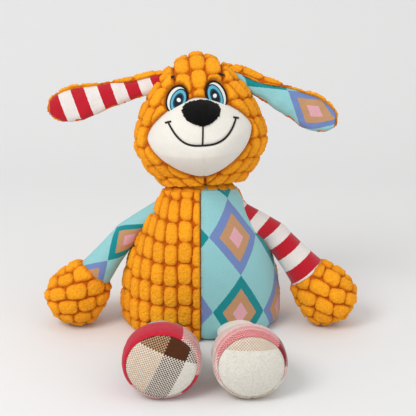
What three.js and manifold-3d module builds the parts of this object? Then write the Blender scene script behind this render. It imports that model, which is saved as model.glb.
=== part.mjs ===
// A stuffed squeaky dog toy that sits facing -Y, with its own right side on -X.
// Millimetres, +Z up. The origin is the centre of the flat seat, so z = 0 is the floor.
import * as THREE from 'three';
import { mergeVertices } from 'three/addons/utils/BufferGeometryUtils.js';
import Module from 'manifold-3d';

const wasm = await Module();
wasm.setup();

// Cloth and clearances
const PLUSH = 3; // corduroy plush with its pile
const LIMB_CLOTH = 2; // cloth of arms and legs
const MUZZLE_CLOTH = 2; // short white pile
const EMBROIDERY = 1; // thread standing on the cloth
const SEAM_GAP = 0.3; // between pieces that are sewn or packed together
const JOINT_GAP = 0.5; // between pieces that turn against each other
const FLOOR_GAP = 0.4; // under the paws and feet

// Body: a bell on a flat oval seat, closing in to a round neck
const SEAT_RADIUS = 56;
const BODY_HALF_WIDTH = 73;
const BODY_HALF_DEPTH = 56;
const BELLY_Z = 14;
const FLANK_Z = 48;
const SHOULDER_SLOPE_RADIUS = 48;
const SHOULDER_SLOPE_Z = 96;
const NECK_RADIUS = 33;
const NECK_Z = 123;
const NECK_PIVOT_DEPTH = 24; // centre of the neck ball, below the neck seam
const NECK_TILT = 12; // degrees, the neck seam is higher at the front
const NECK_TURN = [-40, 0, 40]; // degrees, to either side and ahead
const NECK_NOD_BACK = -15; // degrees

// Head: each rise is a height above the neck seam
const JAW_RADIUS = 47;
const JAW_RISE = 8;
const CHEEK_RADIUS = 56;
const JOWL_RISE = 20;
const CHEEK_RISE = 38;
const TEMPLE_RISE = 66;
const CROWN_RADIUS = 24;
const CROWN_RISE = 117;
const HEAD_HALF_DEPTH = 48;
const GUSSET_HALF_WIDTH = 20;
const CHIN_SEAM_RISE = 50; // below this the side panels meet at the front
const HEAD_LEAN = 3; // degrees, crown towards the toy's right
const HEAD_TURN = 4; // degrees, face towards the toy's left
const HEAD_SHIFT = 3.5; // towards the toy's left

// Muzzle and face
const MUZZLE_HALF_WIDTH = 43.5;
const MUZZLE_HALF_DEPTH = 45;
const MUZZLE_HALF_HEIGHT = 34.5;
const MUZZLE_FORWARD = 20;
const MUZZLE_RISE = 48;
const NOSE_WIDTH = 31;
const NOSE_FOOT_WIDTH = 14;
const NOSE_HEIGHT = 18;
const NOSE_RISE = 72.5;
const NOSE_THICKNESS = 4.5;
const EYE_WIDTH = 17;
const EYE_HEIGHT = 22;
const EYE_SPREAD = 16;
const EYE_RISE = 83.5;
const BROW_LENGTH = 11;
const BROW_WIDTH = 2.4;
const BROW_SPREAD = 19.5;
const BROW_RISE = 99.5;
const BROW_SLANT = 18; // degrees
const MOUTH_HALF_WIDTH = 28;
const MOUTH_CORNER_RISE = 66;
const MOUTH_LOW_RISE = 51;
const MOUTH_THREAD = 2;

// Ears
const EAR_LENGTH = 93;
const EAR_ROOT_HALF_WIDTH = 8.5;
const EAR_HALF_WIDTH = 15;
const EAR_WIDEST = 66; // from the root
const EAR_THICKNESS = 6;
const EAR_CURL = 9; // how far the tip bows forward
const EAR_RISE = 94;
const EAR_SEAT = 2; // hinge line off the head's surface
const EAR_SINK = 9; // length that is cut back to the head
const EAR_DROOP = { right: 13, left: 30 }; // degrees below level, in the head
const EAR_TWIST = { right: 25, left: 10 }; // degrees, top edge forward
const EAR_SWING = [-50, 60]; // degrees, back and forward

// Arms: distances run from the shoulder pivot along the arm
const ARM_ROOT_RADIUS = 11;
const ARM_ELBOW = 42;
const WRIST_RADIUS = 16.5;
const SLEEVE_LENGTH = 70;
const PAW_RADIUS = 25.5;
const PAW_HALF_THICKNESS = 22;
const PAW_WIDEST = 27; // from the wrist seam
const PAW_LENGTH = 53;
const SHOULDER_Z = 99;
const SHOULDER_SEAT = 4; // pivot off the body's surface
const ARM_FORWARD = 13; // degrees
const ARM_SWING = [-5, 65]; // degrees, in and up

// Legs: distances run from the hip pivot along the leg
const LEG_ROOT_RADIUS = 15;
const LEG_KNEE = 32;
const ANKLE_RADIUS = 17;
const LEG_LENGTH = 60;
const FOOT_RADIUS = 29.5;
const FOOT_WIDEST = 24; // from the ankle seam
const FOOT_LENGTH = 41;
const SOLE_RADIUS = 25.5;
const SOLE_DOME = 6;
const HIP_SPREAD = 31;
const HIP_Z = 24;
const HIP_SEAT = 5; // pivot off the body's surface
const LEG_SPLAY = { right: -1.5, left: 4 }; // degrees outwards
const LEG_SWING = [-20, 50]; // degrees, down and up

// Squeaker: a pleated bellows between a base with a reed and a cap that is pressed
const SQUEAKER_RADIUS = 19;
const SQUEAKER_Z = 58;
const SQUEAKER_BACK_Y = 11;
const SQUEAKER_PLATE = 2;
const SQUEAKER_RIM = 2;
const SQUEAKER_RIM_WALL = 1.4;
const BELLOWS_HEIGHT = 16;
const BELLOWS_PLEATS = 3;
const BELLOWS_PLEAT_DEPTH = 2.6;
const BELLOWS_WALL = 0.8;
const REED_TUBE_RADIUS = 4.5;
const REED_TUBE_LENGTH = 8;
const REED_BORE_RADIUS = 2.8;
const REED_FLANGE_RADIUS = 7;
const REED_FLANGE = 1.6;
const REED_WIDTH = 4.6;
const REED_THICKNESS = 0.6;

// Facets
const BODY_SIDES = 24;
const LIMB_SIDES = 12;
const ROUND_SIDES = 16;
const CURVE_STEPS = 5;
const LIMB_STEPS = 2;
const EAR_STEPS = 3;
const REACH = 400; // longer than the toy, for cutting blocks
const MERGE = 1e-4; // points nearer than this are one

const SIDE = { right: -1, left: 1 };
const LEFT = new THREE.Vector3(1, 0, 0);
const UP = new THREE.Vector3(0, 0, 1);
const BACK = new THREE.Vector3(0, 1, 0);
const halfGap = SEAM_GAP / 2;
const radians = THREE.MathUtils.degToRad;
const neckSlope = Math.tan(radians(NECK_TILT));

// Solids

// A closed geometry, moved by an optional matrix, as a solid that can be cut and joined.
function solid(geometry, matrix = new THREE.Matrix4()) {
  const bare = new THREE.BufferGeometry();
  bare.setAttribute('position', geometry.getAttribute('position').clone());
  bare.setIndex(geometry.index);
  const merged = mergeVertices(bare.applyMatrix4(matrix), MERGE);
  const corners = [];
  for (let i = 0; i < merged.index.count; i += 3) {
    const [a, b, c] = merged.index.array.slice(i, i + 3);
    if (a !== b && b !== c && c !== a) corners.push(a, b, c);
  }
  return new wasm.Manifold(new wasm.Mesh({
    numProp: 3,
    vertProperties: merged.getAttribute('position').array,
    triVerts: new Uint32Array(corners),
  }));
}

function geometryOf(piece) {
  const mesh = piece.getMesh();
  const geometry = new THREE.BufferGeometry();
  geometry.setAttribute('position', new THREE.BufferAttribute(mesh.vertProperties, 3));
  geometry.setIndex(new THREE.BufferAttribute(mesh.triVerts, 1));
  geometry.computeVertexNormals();
  return geometry;
}

// A cutting block between low and high corners; an axis left out runs right through.
function block({ x = [-REACH, REACH], y = [-REACH, REACH], z = [-REACH, REACH] }) {
  const box = new THREE.BoxGeometry(x[1] - x[0], y[1] - y[0], z[1] - z[0]);
  return solid(box.translate((x[0] + x[1]) / 2, (y[0] + y[1]) / 2, (z[0] + z[1]) / 2));
}

// A form turned about Z from an outline of radius and height. Along its height it is flattened
// along Y, and its front is raised by a slope.
function turned(outline, sides, depthAt = () => 1, slopeAt = () => 0) {
  const form = new THREE.LatheGeometry(outline, sides).rotateX(Math.PI / 2);
  const place = form.getAttribute('position');
  for (let i = 0; i < place.count; i++) {
    const z = place.getZ(i);
    const y = place.getY(i) * depthAt(z);
    place.setY(i, y);
    place.setZ(i, z - y * slopeAt(z));
  }
  return form;
}

// A turned piece whose outline is a list of [radius, height] corners.
function turnedFrom(corners, sides = ROUND_SIDES, depthAt = undefined) {
  return turned(corners.map(([x, y]) => new THREE.Vector2(x, y)), sides, depthAt);
}

// A round bar along Z between two heights.
function bar(radius, low, high) {
  return turnedFrom([[0, low], [radius, low], [radius, high], [0, high]]);
}

// A prism that runs forward from the plane y = 0, with an outline drawn in X and Z.
function prism(shape) {
  const options = { depth: REACH, bevelEnabled: false, curveSegments: CURVE_STEPS };
  return solid(new THREE.ExtrudeGeometry(shape, options).rotateX(Math.PI / 2));
}

// A wall outline moved in by a distance, or out where the distance is negative.
function movedIn(wall, distance) {
  return wall.map((point, i) => {
    const before = wall[Math.max(i - 1, 0)];
    const after = wall[Math.min(i + 1, wall.length - 1)];
    const along = after.clone().sub(before).normalize();
    const onAxis = point.x < MERGE;
    const x = onAxis ? 0 : point.x - along.y * distance;
    return new THREE.Vector2(x, point.y + along.x * distance);
  });
}

// The radius of a wall outline at a height.
function radiusAt(wall, height) {
  const above = wall.findIndex((point) => point.y > height);
  const [low, high] = [wall[above - 1], wall[above]];
  const share = THREE.MathUtils.inverseLerp(low.y, high.y, height);
  return THREE.MathUtils.lerp(low.x, high.x, share);
}

const turnAbout = (axis, degrees) => new THREE.Matrix4().makeRotationAxis(axis, radians(degrees));

// A form as a limb meets it once the limb has turned about a pivot.
function metBy(limbMatrix, form, pivot, turn) {
  const there = new THREE.Matrix4().makeTranslation(pivot);
  const back = there.clone().invert();
  const met = limbMatrix.clone().invert().multiply(there).multiply(turn.clone().invert());
  return solid(form, met.multiply(back));
}

// What is left of a limb that clears the form it grows from at rest and at both ends of its swing.
// A round root that turns in a seat of its own stays whole.
function clearOf(limb, form, group, axis, swing, seat) {
  let left = limb;
  for (const degrees of [0, ...swing]) {
    const cutter = metBy(group.matrix, form, group.position, turnAbout(axis, degrees));
    left = left.subtract(seat ? cutter.subtract(seat) : cutter);
  }
  return left;
}

// Scene graph

const dull = (color, roughness = 0.95) => new THREE.MeshStandardMaterial({ color, roughness });
const ORANGE_PLUSH = dull(0xe89a20);
const ARGYLE_PRINT = dull(0x96cfd2);
const RED_STRIPE = dull(0xb8182a);
const WHITE_PILE = dull(0xdedad0);
const BLACK_PILE = dull(0x181816);
const EYE_THREAD = dull(0x2a8cb8, 0.6);
const BLACK_THREAD = dull(0x1c1c1a, 0.6);
const SHOE_PLAID = dull(0xc83a50);
const SOLE_PLAID = dull(0xdad4c6);
const FIBRE_FILL = dull(0xf2f0ea, 1);
const WHITE_PLASTIC = dull(0xf0f0ec, 0.4);

function add(group, name, piece, material) {
  const mesh = new THREE.Mesh(geometryOf(piece), material);
  mesh.name = name;
  group.add(mesh);
}

// A group at a point, with local Z along a direction and local Y as near as can be to another.
function aimed(position, direction, lean) {
  const along = direction.clone().normalize();
  const across = new THREE.Vector3().crossVectors(lean, along).normalize();
  const leaning = new THREE.Vector3().crossVectors(along, across);
  const group = new THREE.Group();
  group.position.copy(position);
  group.setRotationFromMatrix(new THREE.Matrix4().makeBasis(across, leaning, along));
  group.updateMatrix();
  return group;
}

const toy = new THREE.Group();

// Body form, and the seats of arms and legs on its surface

const bodyWall = new THREE.Path()
  .moveTo(SEAT_RADIUS, 0)
  .quadraticCurveTo(BODY_HALF_WIDTH, 0, BODY_HALF_WIDTH, BELLY_Z)
  .bezierCurveTo(
    BODY_HALF_WIDTH, FLANK_Z,
    SHOULDER_SLOPE_RADIUS, SHOULDER_SLOPE_Z,
    NECK_RADIUS, NECK_Z,
  )
  .getPoints(CURVE_STEPS);

function bodyDepth(z) {
  const towardsNeck = THREE.MathUtils.smoothstep(z, BELLY_Z, NECK_Z);
  return THREE.MathUtils.lerp(BODY_HALF_DEPTH / BODY_HALF_WIDTH, 1, towardsNeck);
}

function bodySlope(z) {
  return neckSlope * THREE.MathUtils.smoothstep(z, BELLY_Z, NECK_Z);
}

function bodyForm(inset, top) {
  const wall = movedIn(bodyWall, inset);
  const start = new THREE.Vector2(0, wall[0].y);
  const rim = new THREE.Vector2(wall.at(-1).x, top);
  const outline = [start, ...wall, rim, new THREE.Vector2(0, top)];
  return turned(outline, BODY_SIDES, bodyDepth, bodySlope);
}

function shoulder(side) {
  const x = radiusAt(bodyWall, SHOULDER_Z) + SHOULDER_SEAT;
  return new THREE.Vector3(SIDE[side] * x, 0, SHOULDER_Z);
}

function hip(side) {
  const front = bodyDepth(HIP_Z) * Math.sqrt(radiusAt(bodyWall, HIP_Z) ** 2 - HIP_SPREAD ** 2);
  return new THREE.Vector3(SIDE[side] * HIP_SPREAD, -front - HIP_SEAT, HIP_Z);
}

// A ball for cutting a socket: its facets lie outside the radius, so a round root turns in it.
function ball(radius, pivot = new THREE.Vector3(), sides = ROUND_SIDES) {
  const corner = radius / Math.cos(Math.PI / sides) ** 2;
  const form = new THREE.SphereGeometry(corner, sides, sides / 2);
  return solid(form, new THREE.Matrix4().makeTranslation(pivot));
}

// The round root of a limb, finely faceted so that it stays inside its socket.
const rootSeat = (radius) => ball(radius + halfGap, new THREE.Vector3(), 2 * ROUND_SIDES);

// The sockets in which the round roots of the limbs turn.
function withSockets(piece) {
  let left = piece;
  for (const side of ['right', 'left']) {
    const seats = [[shoulder(side), ARM_ROOT_RADIUS], [hip(side), LEG_ROOT_RADIUS]];
    for (const [pivot, radius] of seats) {
      left = left.subtract(ball(radius + JOINT_GAP, pivot));
    }
  }
  return left;
}

// Body cover: four panels sewn to a flat seat

const seatDisc = (radius, low, high) => turnedFrom(
  [[0, low], [radius, low], [radius, high], [0, high]], BODY_SIDES, () => bodyDepth(0),
);
const bodyShell = withSockets(
  solid(bodyForm(0, NECK_Z))
    .subtract(solid(bodyForm(PLUSH, NECK_Z + PLUSH)))
    .subtract(solid(seatDisc(SEAT_RADIUS, -PLUSH, 2 * PLUSH))),
);
const bodyPanels = [
  ['body_front_right', [-REACH, -halfGap], [-REACH, -halfGap], ORANGE_PLUSH],
  ['body_front_left', [halfGap, REACH], [-REACH, -halfGap], ARGYLE_PRINT],
  ['body_back_right', [-REACH, -halfGap], [halfGap, REACH], ORANGE_PLUSH],
  ['body_back_left', [halfGap, REACH], [halfGap, REACH], ORANGE_PLUSH],
];
for (const [name, x, y, material] of bodyPanels) {
  add(toy, name, bodyShell.intersect(block({ x, y })), material);
}
add(toy, 'base_panel', solid(seatDisc(SEAT_RADIUS - SEAM_GAP, 0, PLUSH)), ORANGE_PLUSH);

// Squeaker: its axis points to the front, so a squeeze on the belly presses the cap

const squeaker = aimed(
  new THREE.Vector3(0, SQUEAKER_BACK_Y, SQUEAKER_Z), BACK.clone().negate(), UP,
);
toy.add(squeaker);
const plateSpan = SQUEAKER_PLATE + SQUEAKER_RIM;
const bellowsStart = SQUEAKER_PLATE + SEAM_GAP;
const capUnder = bellowsStart + BELLOWS_HEIGHT + SEAM_GAP;
const capTop = capUnder + SQUEAKER_PLATE;
const rimInner = SQUEAKER_RADIUS - SQUEAKER_RIM_WALL;
const bellowsRadius = rimInner - SEAM_GAP;
const flangeTop = -SEAM_GAP;
const flangeBack = flangeTop - REED_FLANGE;

// One face of the pleated wall, from bottom to top.
function pleats(radius) {
  const step = BELLOWS_HEIGHT / (2 * BELLOWS_PLEATS);
  return Array.from({ length: 2 * BELLOWS_PLEATS + 1 }, (_, i) => [
    radius - (i % 2) * BELLOWS_PLEAT_DEPTH, bellowsStart + i * step,
  ]);
}

const reedHole = REED_TUBE_RADIUS + SEAM_GAP;
add(squeaker, 'squeaker_base', solid(turnedFrom([
  [reedHole, 0], [SQUEAKER_RADIUS, 0], [SQUEAKER_RADIUS, plateSpan], [rimInner, plateSpan],
  [rimInner, SQUEAKER_PLATE], [reedHole, SQUEAKER_PLATE], [reedHole, 0],
])), WHITE_PLASTIC);
add(squeaker, 'squeaker_reed_holder', solid(turnedFrom([
  [REED_BORE_RADIUS, flangeBack], [REED_FLANGE_RADIUS, flangeBack],
  [REED_FLANGE_RADIUS, flangeTop], [REED_TUBE_RADIUS, flangeTop],
  [REED_TUBE_RADIUS, REED_TUBE_LENGTH], [REED_BORE_RADIUS, REED_TUBE_LENGTH],
  [REED_BORE_RADIUS, flangeBack],
])), WHITE_PLASTIC);
add(squeaker, 'squeaker_reed', block({
  x: [-REED_WIDTH / 2, REED_WIDTH / 2],
  y: [-REED_THICKNESS / 2, REED_THICKNESS / 2],
  z: [0, REED_TUBE_LENGTH],
}), WHITE_PLASTIC);
add(squeaker, 'squeaker_bellows', solid(turnedFrom([
  ...pleats(bellowsRadius), ...pleats(bellowsRadius - BELLOWS_WALL).reverse(),
  [bellowsRadius, bellowsStart],
])), WHITE_PLASTIC);
add(squeaker, 'squeaker_cap', solid(turnedFrom([
  [0, capUnder], [rimInner, capUnder], [rimInner, capUnder - SQUEAKER_RIM],
  [SQUEAKER_RADIUS, capUnder - SQUEAKER_RIM], [SQUEAKER_RADIUS, capTop], [0, capTop],
])), WHITE_PLASTIC);

// Body filling: the main fill has a pocket that the last handful shuts behind the squeaker

const bodyFill = withSockets(solid(bodyForm(PLUSH + SEAM_GAP, NECK_Z)));
const pocketRadius = SQUEAKER_RADIUS + JOINT_GAP;
const pocket = bar(pocketRadius, -REACH, capTop + SEAM_GAP);
const plug = bar(pocketRadius - SEAM_GAP, -REACH, flangeBack - SEAM_GAP);
add(toy, 'body_stuffing', bodyFill.subtract(solid(pocket, squeaker.matrix)), FIBRE_FILL);
add(toy, 'closing_stuffing', bodyFill.intersect(solid(plug, squeaker.matrix)), FIBRE_FILL);

// Neck: a ball of fill on which the head turns and nods

const neckBall = Math.hypot(NECK_RADIUS / Math.cos(radians(NECK_TILT)), NECK_PIVOT_DEPTH);
const neckAxis = new THREE.Vector3(0, Math.sin(radians(NECK_TILT)), Math.cos(radians(NECK_TILT)));
const neckPivot = new THREE.Vector3(0, 0, NECK_Z).addScaledVector(neckAxis, -NECK_PIVOT_DEPTH);
const neck = aimed(neckPivot, neckAxis, BACK);
toy.add(neck);
const plugFoot = NECK_PIVOT_DEPTH + SEAM_GAP;
const neckWall = new THREE.Path()
  .moveTo(0, plugFoot)
  .lineTo(Math.sqrt(neckBall ** 2 - plugFoot ** 2), plugFoot)
  .absarc(0, 0, neckBall, Math.asin(plugFoot / neckBall), Math.PI / 2, false)
  .getPoints(CURVE_STEPS / 2);
add(neck, 'neck_stuffing', solid(turned(neckWall, BODY_SIDES)), FIBRE_FILL);

// Head form, in a frame that starts at the middle of the neck seam

const tilt = new THREE.Group();
tilt.position.copy(neckPivot);
tilt.rotation.set(0, -radians(HEAD_LEAN), radians(HEAD_TURN));
toy.add(tilt);
const head = new THREE.Group();
head.position.set(HEAD_SHIFT, -neckPivot.y, NECK_Z - neckPivot.z);
tilt.add(head);

const headWall = new THREE.Path()
  .moveTo(NECK_RADIUS, 0)
  .bezierCurveTo(JAW_RADIUS, JAW_RISE, CHEEK_RADIUS, JOWL_RISE, CHEEK_RADIUS, CHEEK_RISE)
  .bezierCurveTo(CHEEK_RADIUS, TEMPLE_RISE, CROWN_RADIUS, CROWN_RISE, 0, CROWN_RISE)
  .getPoints(CURVE_STEPS);

function headDepth(rise) {
  const towardsJaw = THREE.MathUtils.smoothstep(rise, 0, JOWL_RISE);
  return THREE.MathUtils.lerp(1, HEAD_HALF_DEPTH / CHEEK_RADIUS, towardsJaw);
}

function headSlope(rise) {
  return neckSlope * (1 - THREE.MathUtils.smoothstep(rise, 0, CHEEK_RISE));
}

function headForm(inset) {
  const wall = movedIn(headWall, inset);
  const bottom = -NECK_PIVOT_DEPTH / 2;
  const foot = new THREE.Vector2(wall[0].x, bottom);
  const outline = [new THREE.Vector2(0, bottom), foot, ...wall];
  return turned(outline, BODY_SIDES, headDepth, headSlope);
}

function muzzleForm(grow) {
  const form = new THREE.SphereGeometry(1, ROUND_SIDES, ROUND_SIDES / 2);
  form.scale(MUZZLE_HALF_WIDTH + grow, MUZZLE_HALF_DEPTH + grow, MUZZLE_HALF_HEIGHT + grow);
  return solid(form.translate(0, -MUZZLE_FORWARD, MUZZLE_RISE));
}

const neckSeat = ball(neckBall + JOINT_GAP, head.position.clone().negate(), BODY_SIDES);

// Head cover: a gusset from the muzzle over the crown to the nape, two sides and the muzzle.
// The nape is cut to clear the body when the head leans back.

let headShell = solid(headForm(0))
  .subtract(solid(headForm(PLUSH)))
  .subtract(neckSeat)
  .subtract(muzzleForm(SEAM_GAP));
tilt.updateMatrix();
head.updateMatrix();
const headMatrix = tilt.matrix.clone().multiply(head.matrix);
for (const degrees of NECK_TURN) {
  const bowed = turnAbout(neckAxis, degrees).multiply(turnAbout(LEFT, NECK_NOD_BACK));
  headShell = headShell.subtract(metBy(headMatrix, bodyForm(-JOINT_GAP, NECK_Z), neckPivot, bowed));
}

function gussetZone(grow) {
  const strip = GUSSET_HALF_WIDTH + grow;
  const chin = block({ y: [-REACH, -grow], z: [-REACH, CHIN_SEAM_RISE - grow] });
  return block({ x: [-strip, strip] }).subtract(chin);
}

const headSides = headShell.subtract(gussetZone(halfGap));
add(head, 'head_side_right', headSides.intersect(block({ x: [-REACH, -halfGap] })), ORANGE_PLUSH);
add(head, 'head_side_left', headSides.intersect(block({ x: [halfGap, REACH] })), ORANGE_PLUSH);
add(head, 'head_gusset', headShell.intersect(gussetZone(-halfGap)), ORANGE_PLUSH);
add(head, 'muzzle_panel', muzzleForm(0)
  .subtract(muzzleForm(-MUZZLE_CLOTH))
  .subtract(solid(headForm(PLUSH))), WHITE_PILE);
add(head, 'head_stuffing', solid(headForm(PLUSH + SEAM_GAP))
  .add(muzzleForm(-MUZZLE_CLOTH - SEAM_GAP))
  .subtract(neckSeat), FIBRE_FILL);

// Face: a padded nose on the muzzle, and eyes, brows and mouth in raised thread

const onMuzzle = (outline, height) => outline
  .intersect(muzzleForm(SEAM_GAP + height))
  .subtract(muzzleForm(SEAM_GAP))
  .subtract(solid(headForm(-2 * SEAM_GAP - EMBROIDERY)));
const onHead = (outline) => outline
  .intersect(solid(headForm(-SEAM_GAP - EMBROIDERY)))
  .subtract(solid(headForm(-SEAM_GAP)))
  .subtract(muzzleForm(SEAM_GAP));

const noseTop = NOSE_RISE + NOSE_HEIGHT / 2;
const noseFoot = NOSE_RISE - NOSE_HEIGHT / 2;
const noseHalf = NOSE_WIDTH / 2;
const noseToe = NOSE_FOOT_WIDTH / 2;
const noseOutline = new THREE.Shape()
  .moveTo(0, noseFoot)
  .bezierCurveTo(noseToe, noseFoot, noseHalf, NOSE_RISE, noseHalf, (NOSE_RISE + noseTop) / 2)
  .bezierCurveTo(noseHalf, noseTop, noseToe, noseTop, 0, noseTop)
  .bezierCurveTo(-noseToe, noseTop, -noseHalf, noseTop, -noseHalf, (NOSE_RISE + noseTop) / 2)
  .bezierCurveTo(-noseHalf, NOSE_RISE, -noseToe, noseFoot, 0, noseFoot);
add(head, 'nose_patch', onMuzzle(prism(noseOutline), NOSE_THICKNESS), BLACK_PILE);

for (const side of ['right', 'left']) {
  const eye = new THREE.Shape().absellipse(
    SIDE[side] * EYE_SPREAD, EYE_RISE, EYE_WIDTH / 2, EYE_HEIGHT / 2, 0, 2 * Math.PI, false,
  );
  const brow = new THREE.Shape().absellipse(
    SIDE[side] * BROW_SPREAD, BROW_RISE, BROW_LENGTH / 2, BROW_WIDTH / 2, 0, 2 * Math.PI, false,
    -SIDE[side] * radians(BROW_SLANT),
  );
  add(head, `eye_${side}`, onHead(prism(eye)), EYE_THREAD);
  add(head, `brow_${side}`, onHead(prism(brow)), BLACK_THREAD);
}

const smileControl = 2 * MOUTH_LOW_RISE - MOUTH_CORNER_RISE;
const smile = new THREE.Shape()
  .moveTo(-MOUTH_HALF_WIDTH, MOUTH_CORNER_RISE)
  .quadraticCurveTo(0, smileControl, MOUTH_HALF_WIDTH, MOUTH_CORNER_RISE)
  .lineTo(MOUTH_HALF_WIDTH, MOUTH_CORNER_RISE + MOUTH_THREAD)
  .quadraticCurveTo(
    0, smileControl + MOUTH_THREAD, -MOUTH_HALF_WIDTH, MOUTH_CORNER_RISE + MOUTH_THREAD,
  );
const lipLine = block({
  x: [-MOUTH_THREAD / 2, MOUTH_THREAD / 2],
  y: [-REACH, 0],
  z: [MOUTH_LOW_RISE + MOUTH_THREAD / 2, noseFoot - SEAM_GAP],
});
add(head, 'mouth_stitch', onMuzzle(prism(smile).add(lipLine), EMBROIDERY), BLACK_THREAD);

// Ears: a leaf of two layers, the lining to the front, that swings about its root seam

const earWall = new THREE.Path()
  .moveTo(0, -EAR_SINK)
  .lineTo(EAR_ROOT_HALF_WIDTH, -EAR_SINK)
  .lineTo(EAR_ROOT_HALF_WIDTH, 0)
  .quadraticCurveTo(EAR_ROOT_HALF_WIDTH, EAR_WIDEST / 2, EAR_HALF_WIDTH, EAR_WIDEST)
  .absellipse(0, EAR_WIDEST, EAR_HALF_WIDTH, EAR_LENGTH - EAR_WIDEST, 0, Math.PI / 2, false)
  .getPoints(EAR_STEPS);
const earLeaf = solid(turned(earWall, LIMB_SIDES, () => EAR_THICKNESS / (2 * EAR_HALF_WIDTH)));

function curled(layer) {
  const form = geometryOf(layer);
  const place = form.getAttribute('position');
  for (let i = 0; i < place.count; i++) {
    const share = Math.max(place.getZ(i), 0) / EAR_LENGTH;
    place.setY(i, place.getY(i) - EAR_CURL * share ** 2);
  }
  return solid(form);
}

const earRadius = radiusAt(headWall, EAR_RISE);
const earSlope = radiusAt(headWall, EAR_RISE + 1) - radiusAt(headWall, EAR_RISE - 1);
for (const side of ['right', 'left']) {
  const droop = radians(EAR_DROOP[side]);
  const root = new THREE.Vector3(SIDE[side] * (earRadius + EAR_SEAT), 0, EAR_RISE);
  const out = new THREE.Vector3(SIDE[side] * Math.cos(droop), 0, -Math.sin(droop));
  const twist = radians(EAR_TWIST[side]);
  const ear = aimed(root, out, BACK.clone().applyAxisAngle(out, -SIDE[side] * twist));
  head.add(ear);
  const hinge = new THREE.Vector3(SIDE[side] * earSlope, 0, 2).normalize();
  const layers = [
    [`ear_${side}_outer`, [halfGap, REACH], ORANGE_PLUSH],
    [`ear_${side}_lining`, [-REACH, -halfGap], side === 'right' ? RED_STRIPE : ARGYLE_PRINT],
  ];
  for (const [name, y, material] of layers) {
    const layer = curled(earLeaf.intersect(block({ y })));
    const swing = EAR_SWING.map((degrees) => -SIDE[side] * degrees);
    add(ear, name, clearOf(layer, headForm(-JOINT_GAP), ear, hinge, swing), material);
  }
}

// Arms: a sleeve that widens to the wrist, and a mitten paw that rests on the floor

const pawWidest = SLEEVE_LENGTH + PAW_WIDEST;
const armWall = new THREE.Path()
  .absarc(0, 0, ARM_ROOT_RADIUS, -Math.PI / 2, 0, false)
  .quadraticCurveTo(ARM_ROOT_RADIUS, ARM_ELBOW, WRIST_RADIUS, SLEEVE_LENGTH)
  .quadraticCurveTo(PAW_RADIUS, SLEEVE_LENGTH, PAW_RADIUS, pawWidest)
  .absellipse(0, pawWidest, PAW_RADIUS, PAW_LENGTH - PAW_WIDEST, 0, Math.PI / 2, false)
  .getPoints(LIMB_STEPS);

function armForm(inset) {
  const flat = PAW_HALF_THICKNESS / PAW_RADIUS;
  const depth = (z) => THREE.MathUtils.lerp(
    1, flat, THREE.MathUtils.smoothstep(z, ARM_ELBOW, pawWidest),
  );
  return solid(turned(movedIn(armWall, inset), LIMB_SIDES, depth));
}

const armShell = armForm(0).subtract(armForm(LIMB_CLOTH));
const pawDrop = Math.max(PAW_RADIUS, PAW_LENGTH - PAW_WIDEST) + FLOOR_GAP;
const armDrop = Math.asin((SHOULDER_Z - pawDrop) / pawWidest);
for (const side of ['right', 'left']) {
  const arm = aimed(shoulder(side), new THREE.Vector3(
    SIDE[side] * Math.cos(armDrop) * Math.cos(radians(ARM_FORWARD)),
    -Math.cos(armDrop) * Math.sin(radians(ARM_FORWARD)),
    -Math.sin(armDrop),
  ), BACK);
  toy.add(arm);
  const lift = BACK.clone().multiplyScalar(-SIDE[side]);
  const clear = (piece) => clearOf(
    piece, bodyForm(-JOINT_GAP, NECK_Z), arm, lift, ARM_SWING, rootSeat(ARM_ROOT_RADIUS),
  );
  const sleeve = armShell.intersect(block({ z: [-REACH, SLEEVE_LENGTH - halfGap] }));
  const paw = armShell.intersect(block({ z: [SLEEVE_LENGTH + halfGap, REACH] }));
  add(arm, `arm_${side}_sleeve`, clear(sleeve), side === 'right' ? ARGYLE_PRINT : RED_STRIPE);
  add(arm, `arm_${side}_paw`, paw, ORANGE_PLUSH);
  add(arm, `arm_${side}_stuffing`, clear(armForm(LIMB_CLOTH + SEAM_GAP)), FIBRE_FILL);
}

// Legs: a sleeve that ends in a plaid shoe, whose round sole faces forward

const soleStart = LEG_LENGTH + FOOT_LENGTH;
const footWidest = LEG_LENGTH + FOOT_WIDEST;
const legWall = new THREE.Path()
  .absarc(0, 0, LEG_ROOT_RADIUS, -Math.PI / 2, 0, false)
  .quadraticCurveTo(LEG_ROOT_RADIUS, LEG_KNEE, ANKLE_RADIUS, LEG_LENGTH)
  .quadraticCurveTo(FOOT_RADIUS, LEG_LENGTH, FOOT_RADIUS, footWidest)
  .quadraticCurveTo(FOOT_RADIUS, soleStart, SOLE_RADIUS, soleStart)
  .quadraticCurveTo(SOLE_RADIUS / 2, soleStart + SOLE_DOME, 0, soleStart + SOLE_DOME)
  .getPoints(LIMB_STEPS);
const legForm = (inset) => solid(turned(movedIn(legWall, inset), LIMB_SIDES));
const legShell = legForm(0).subtract(legForm(LIMB_CLOTH));
const footShell = legShell.intersect(block({ z: [LEG_LENGTH + halfGap, REACH] }));
const legRise = Math.asin((FOOT_RADIUS + FLOOR_GAP - HIP_Z) / footWidest);
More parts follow.
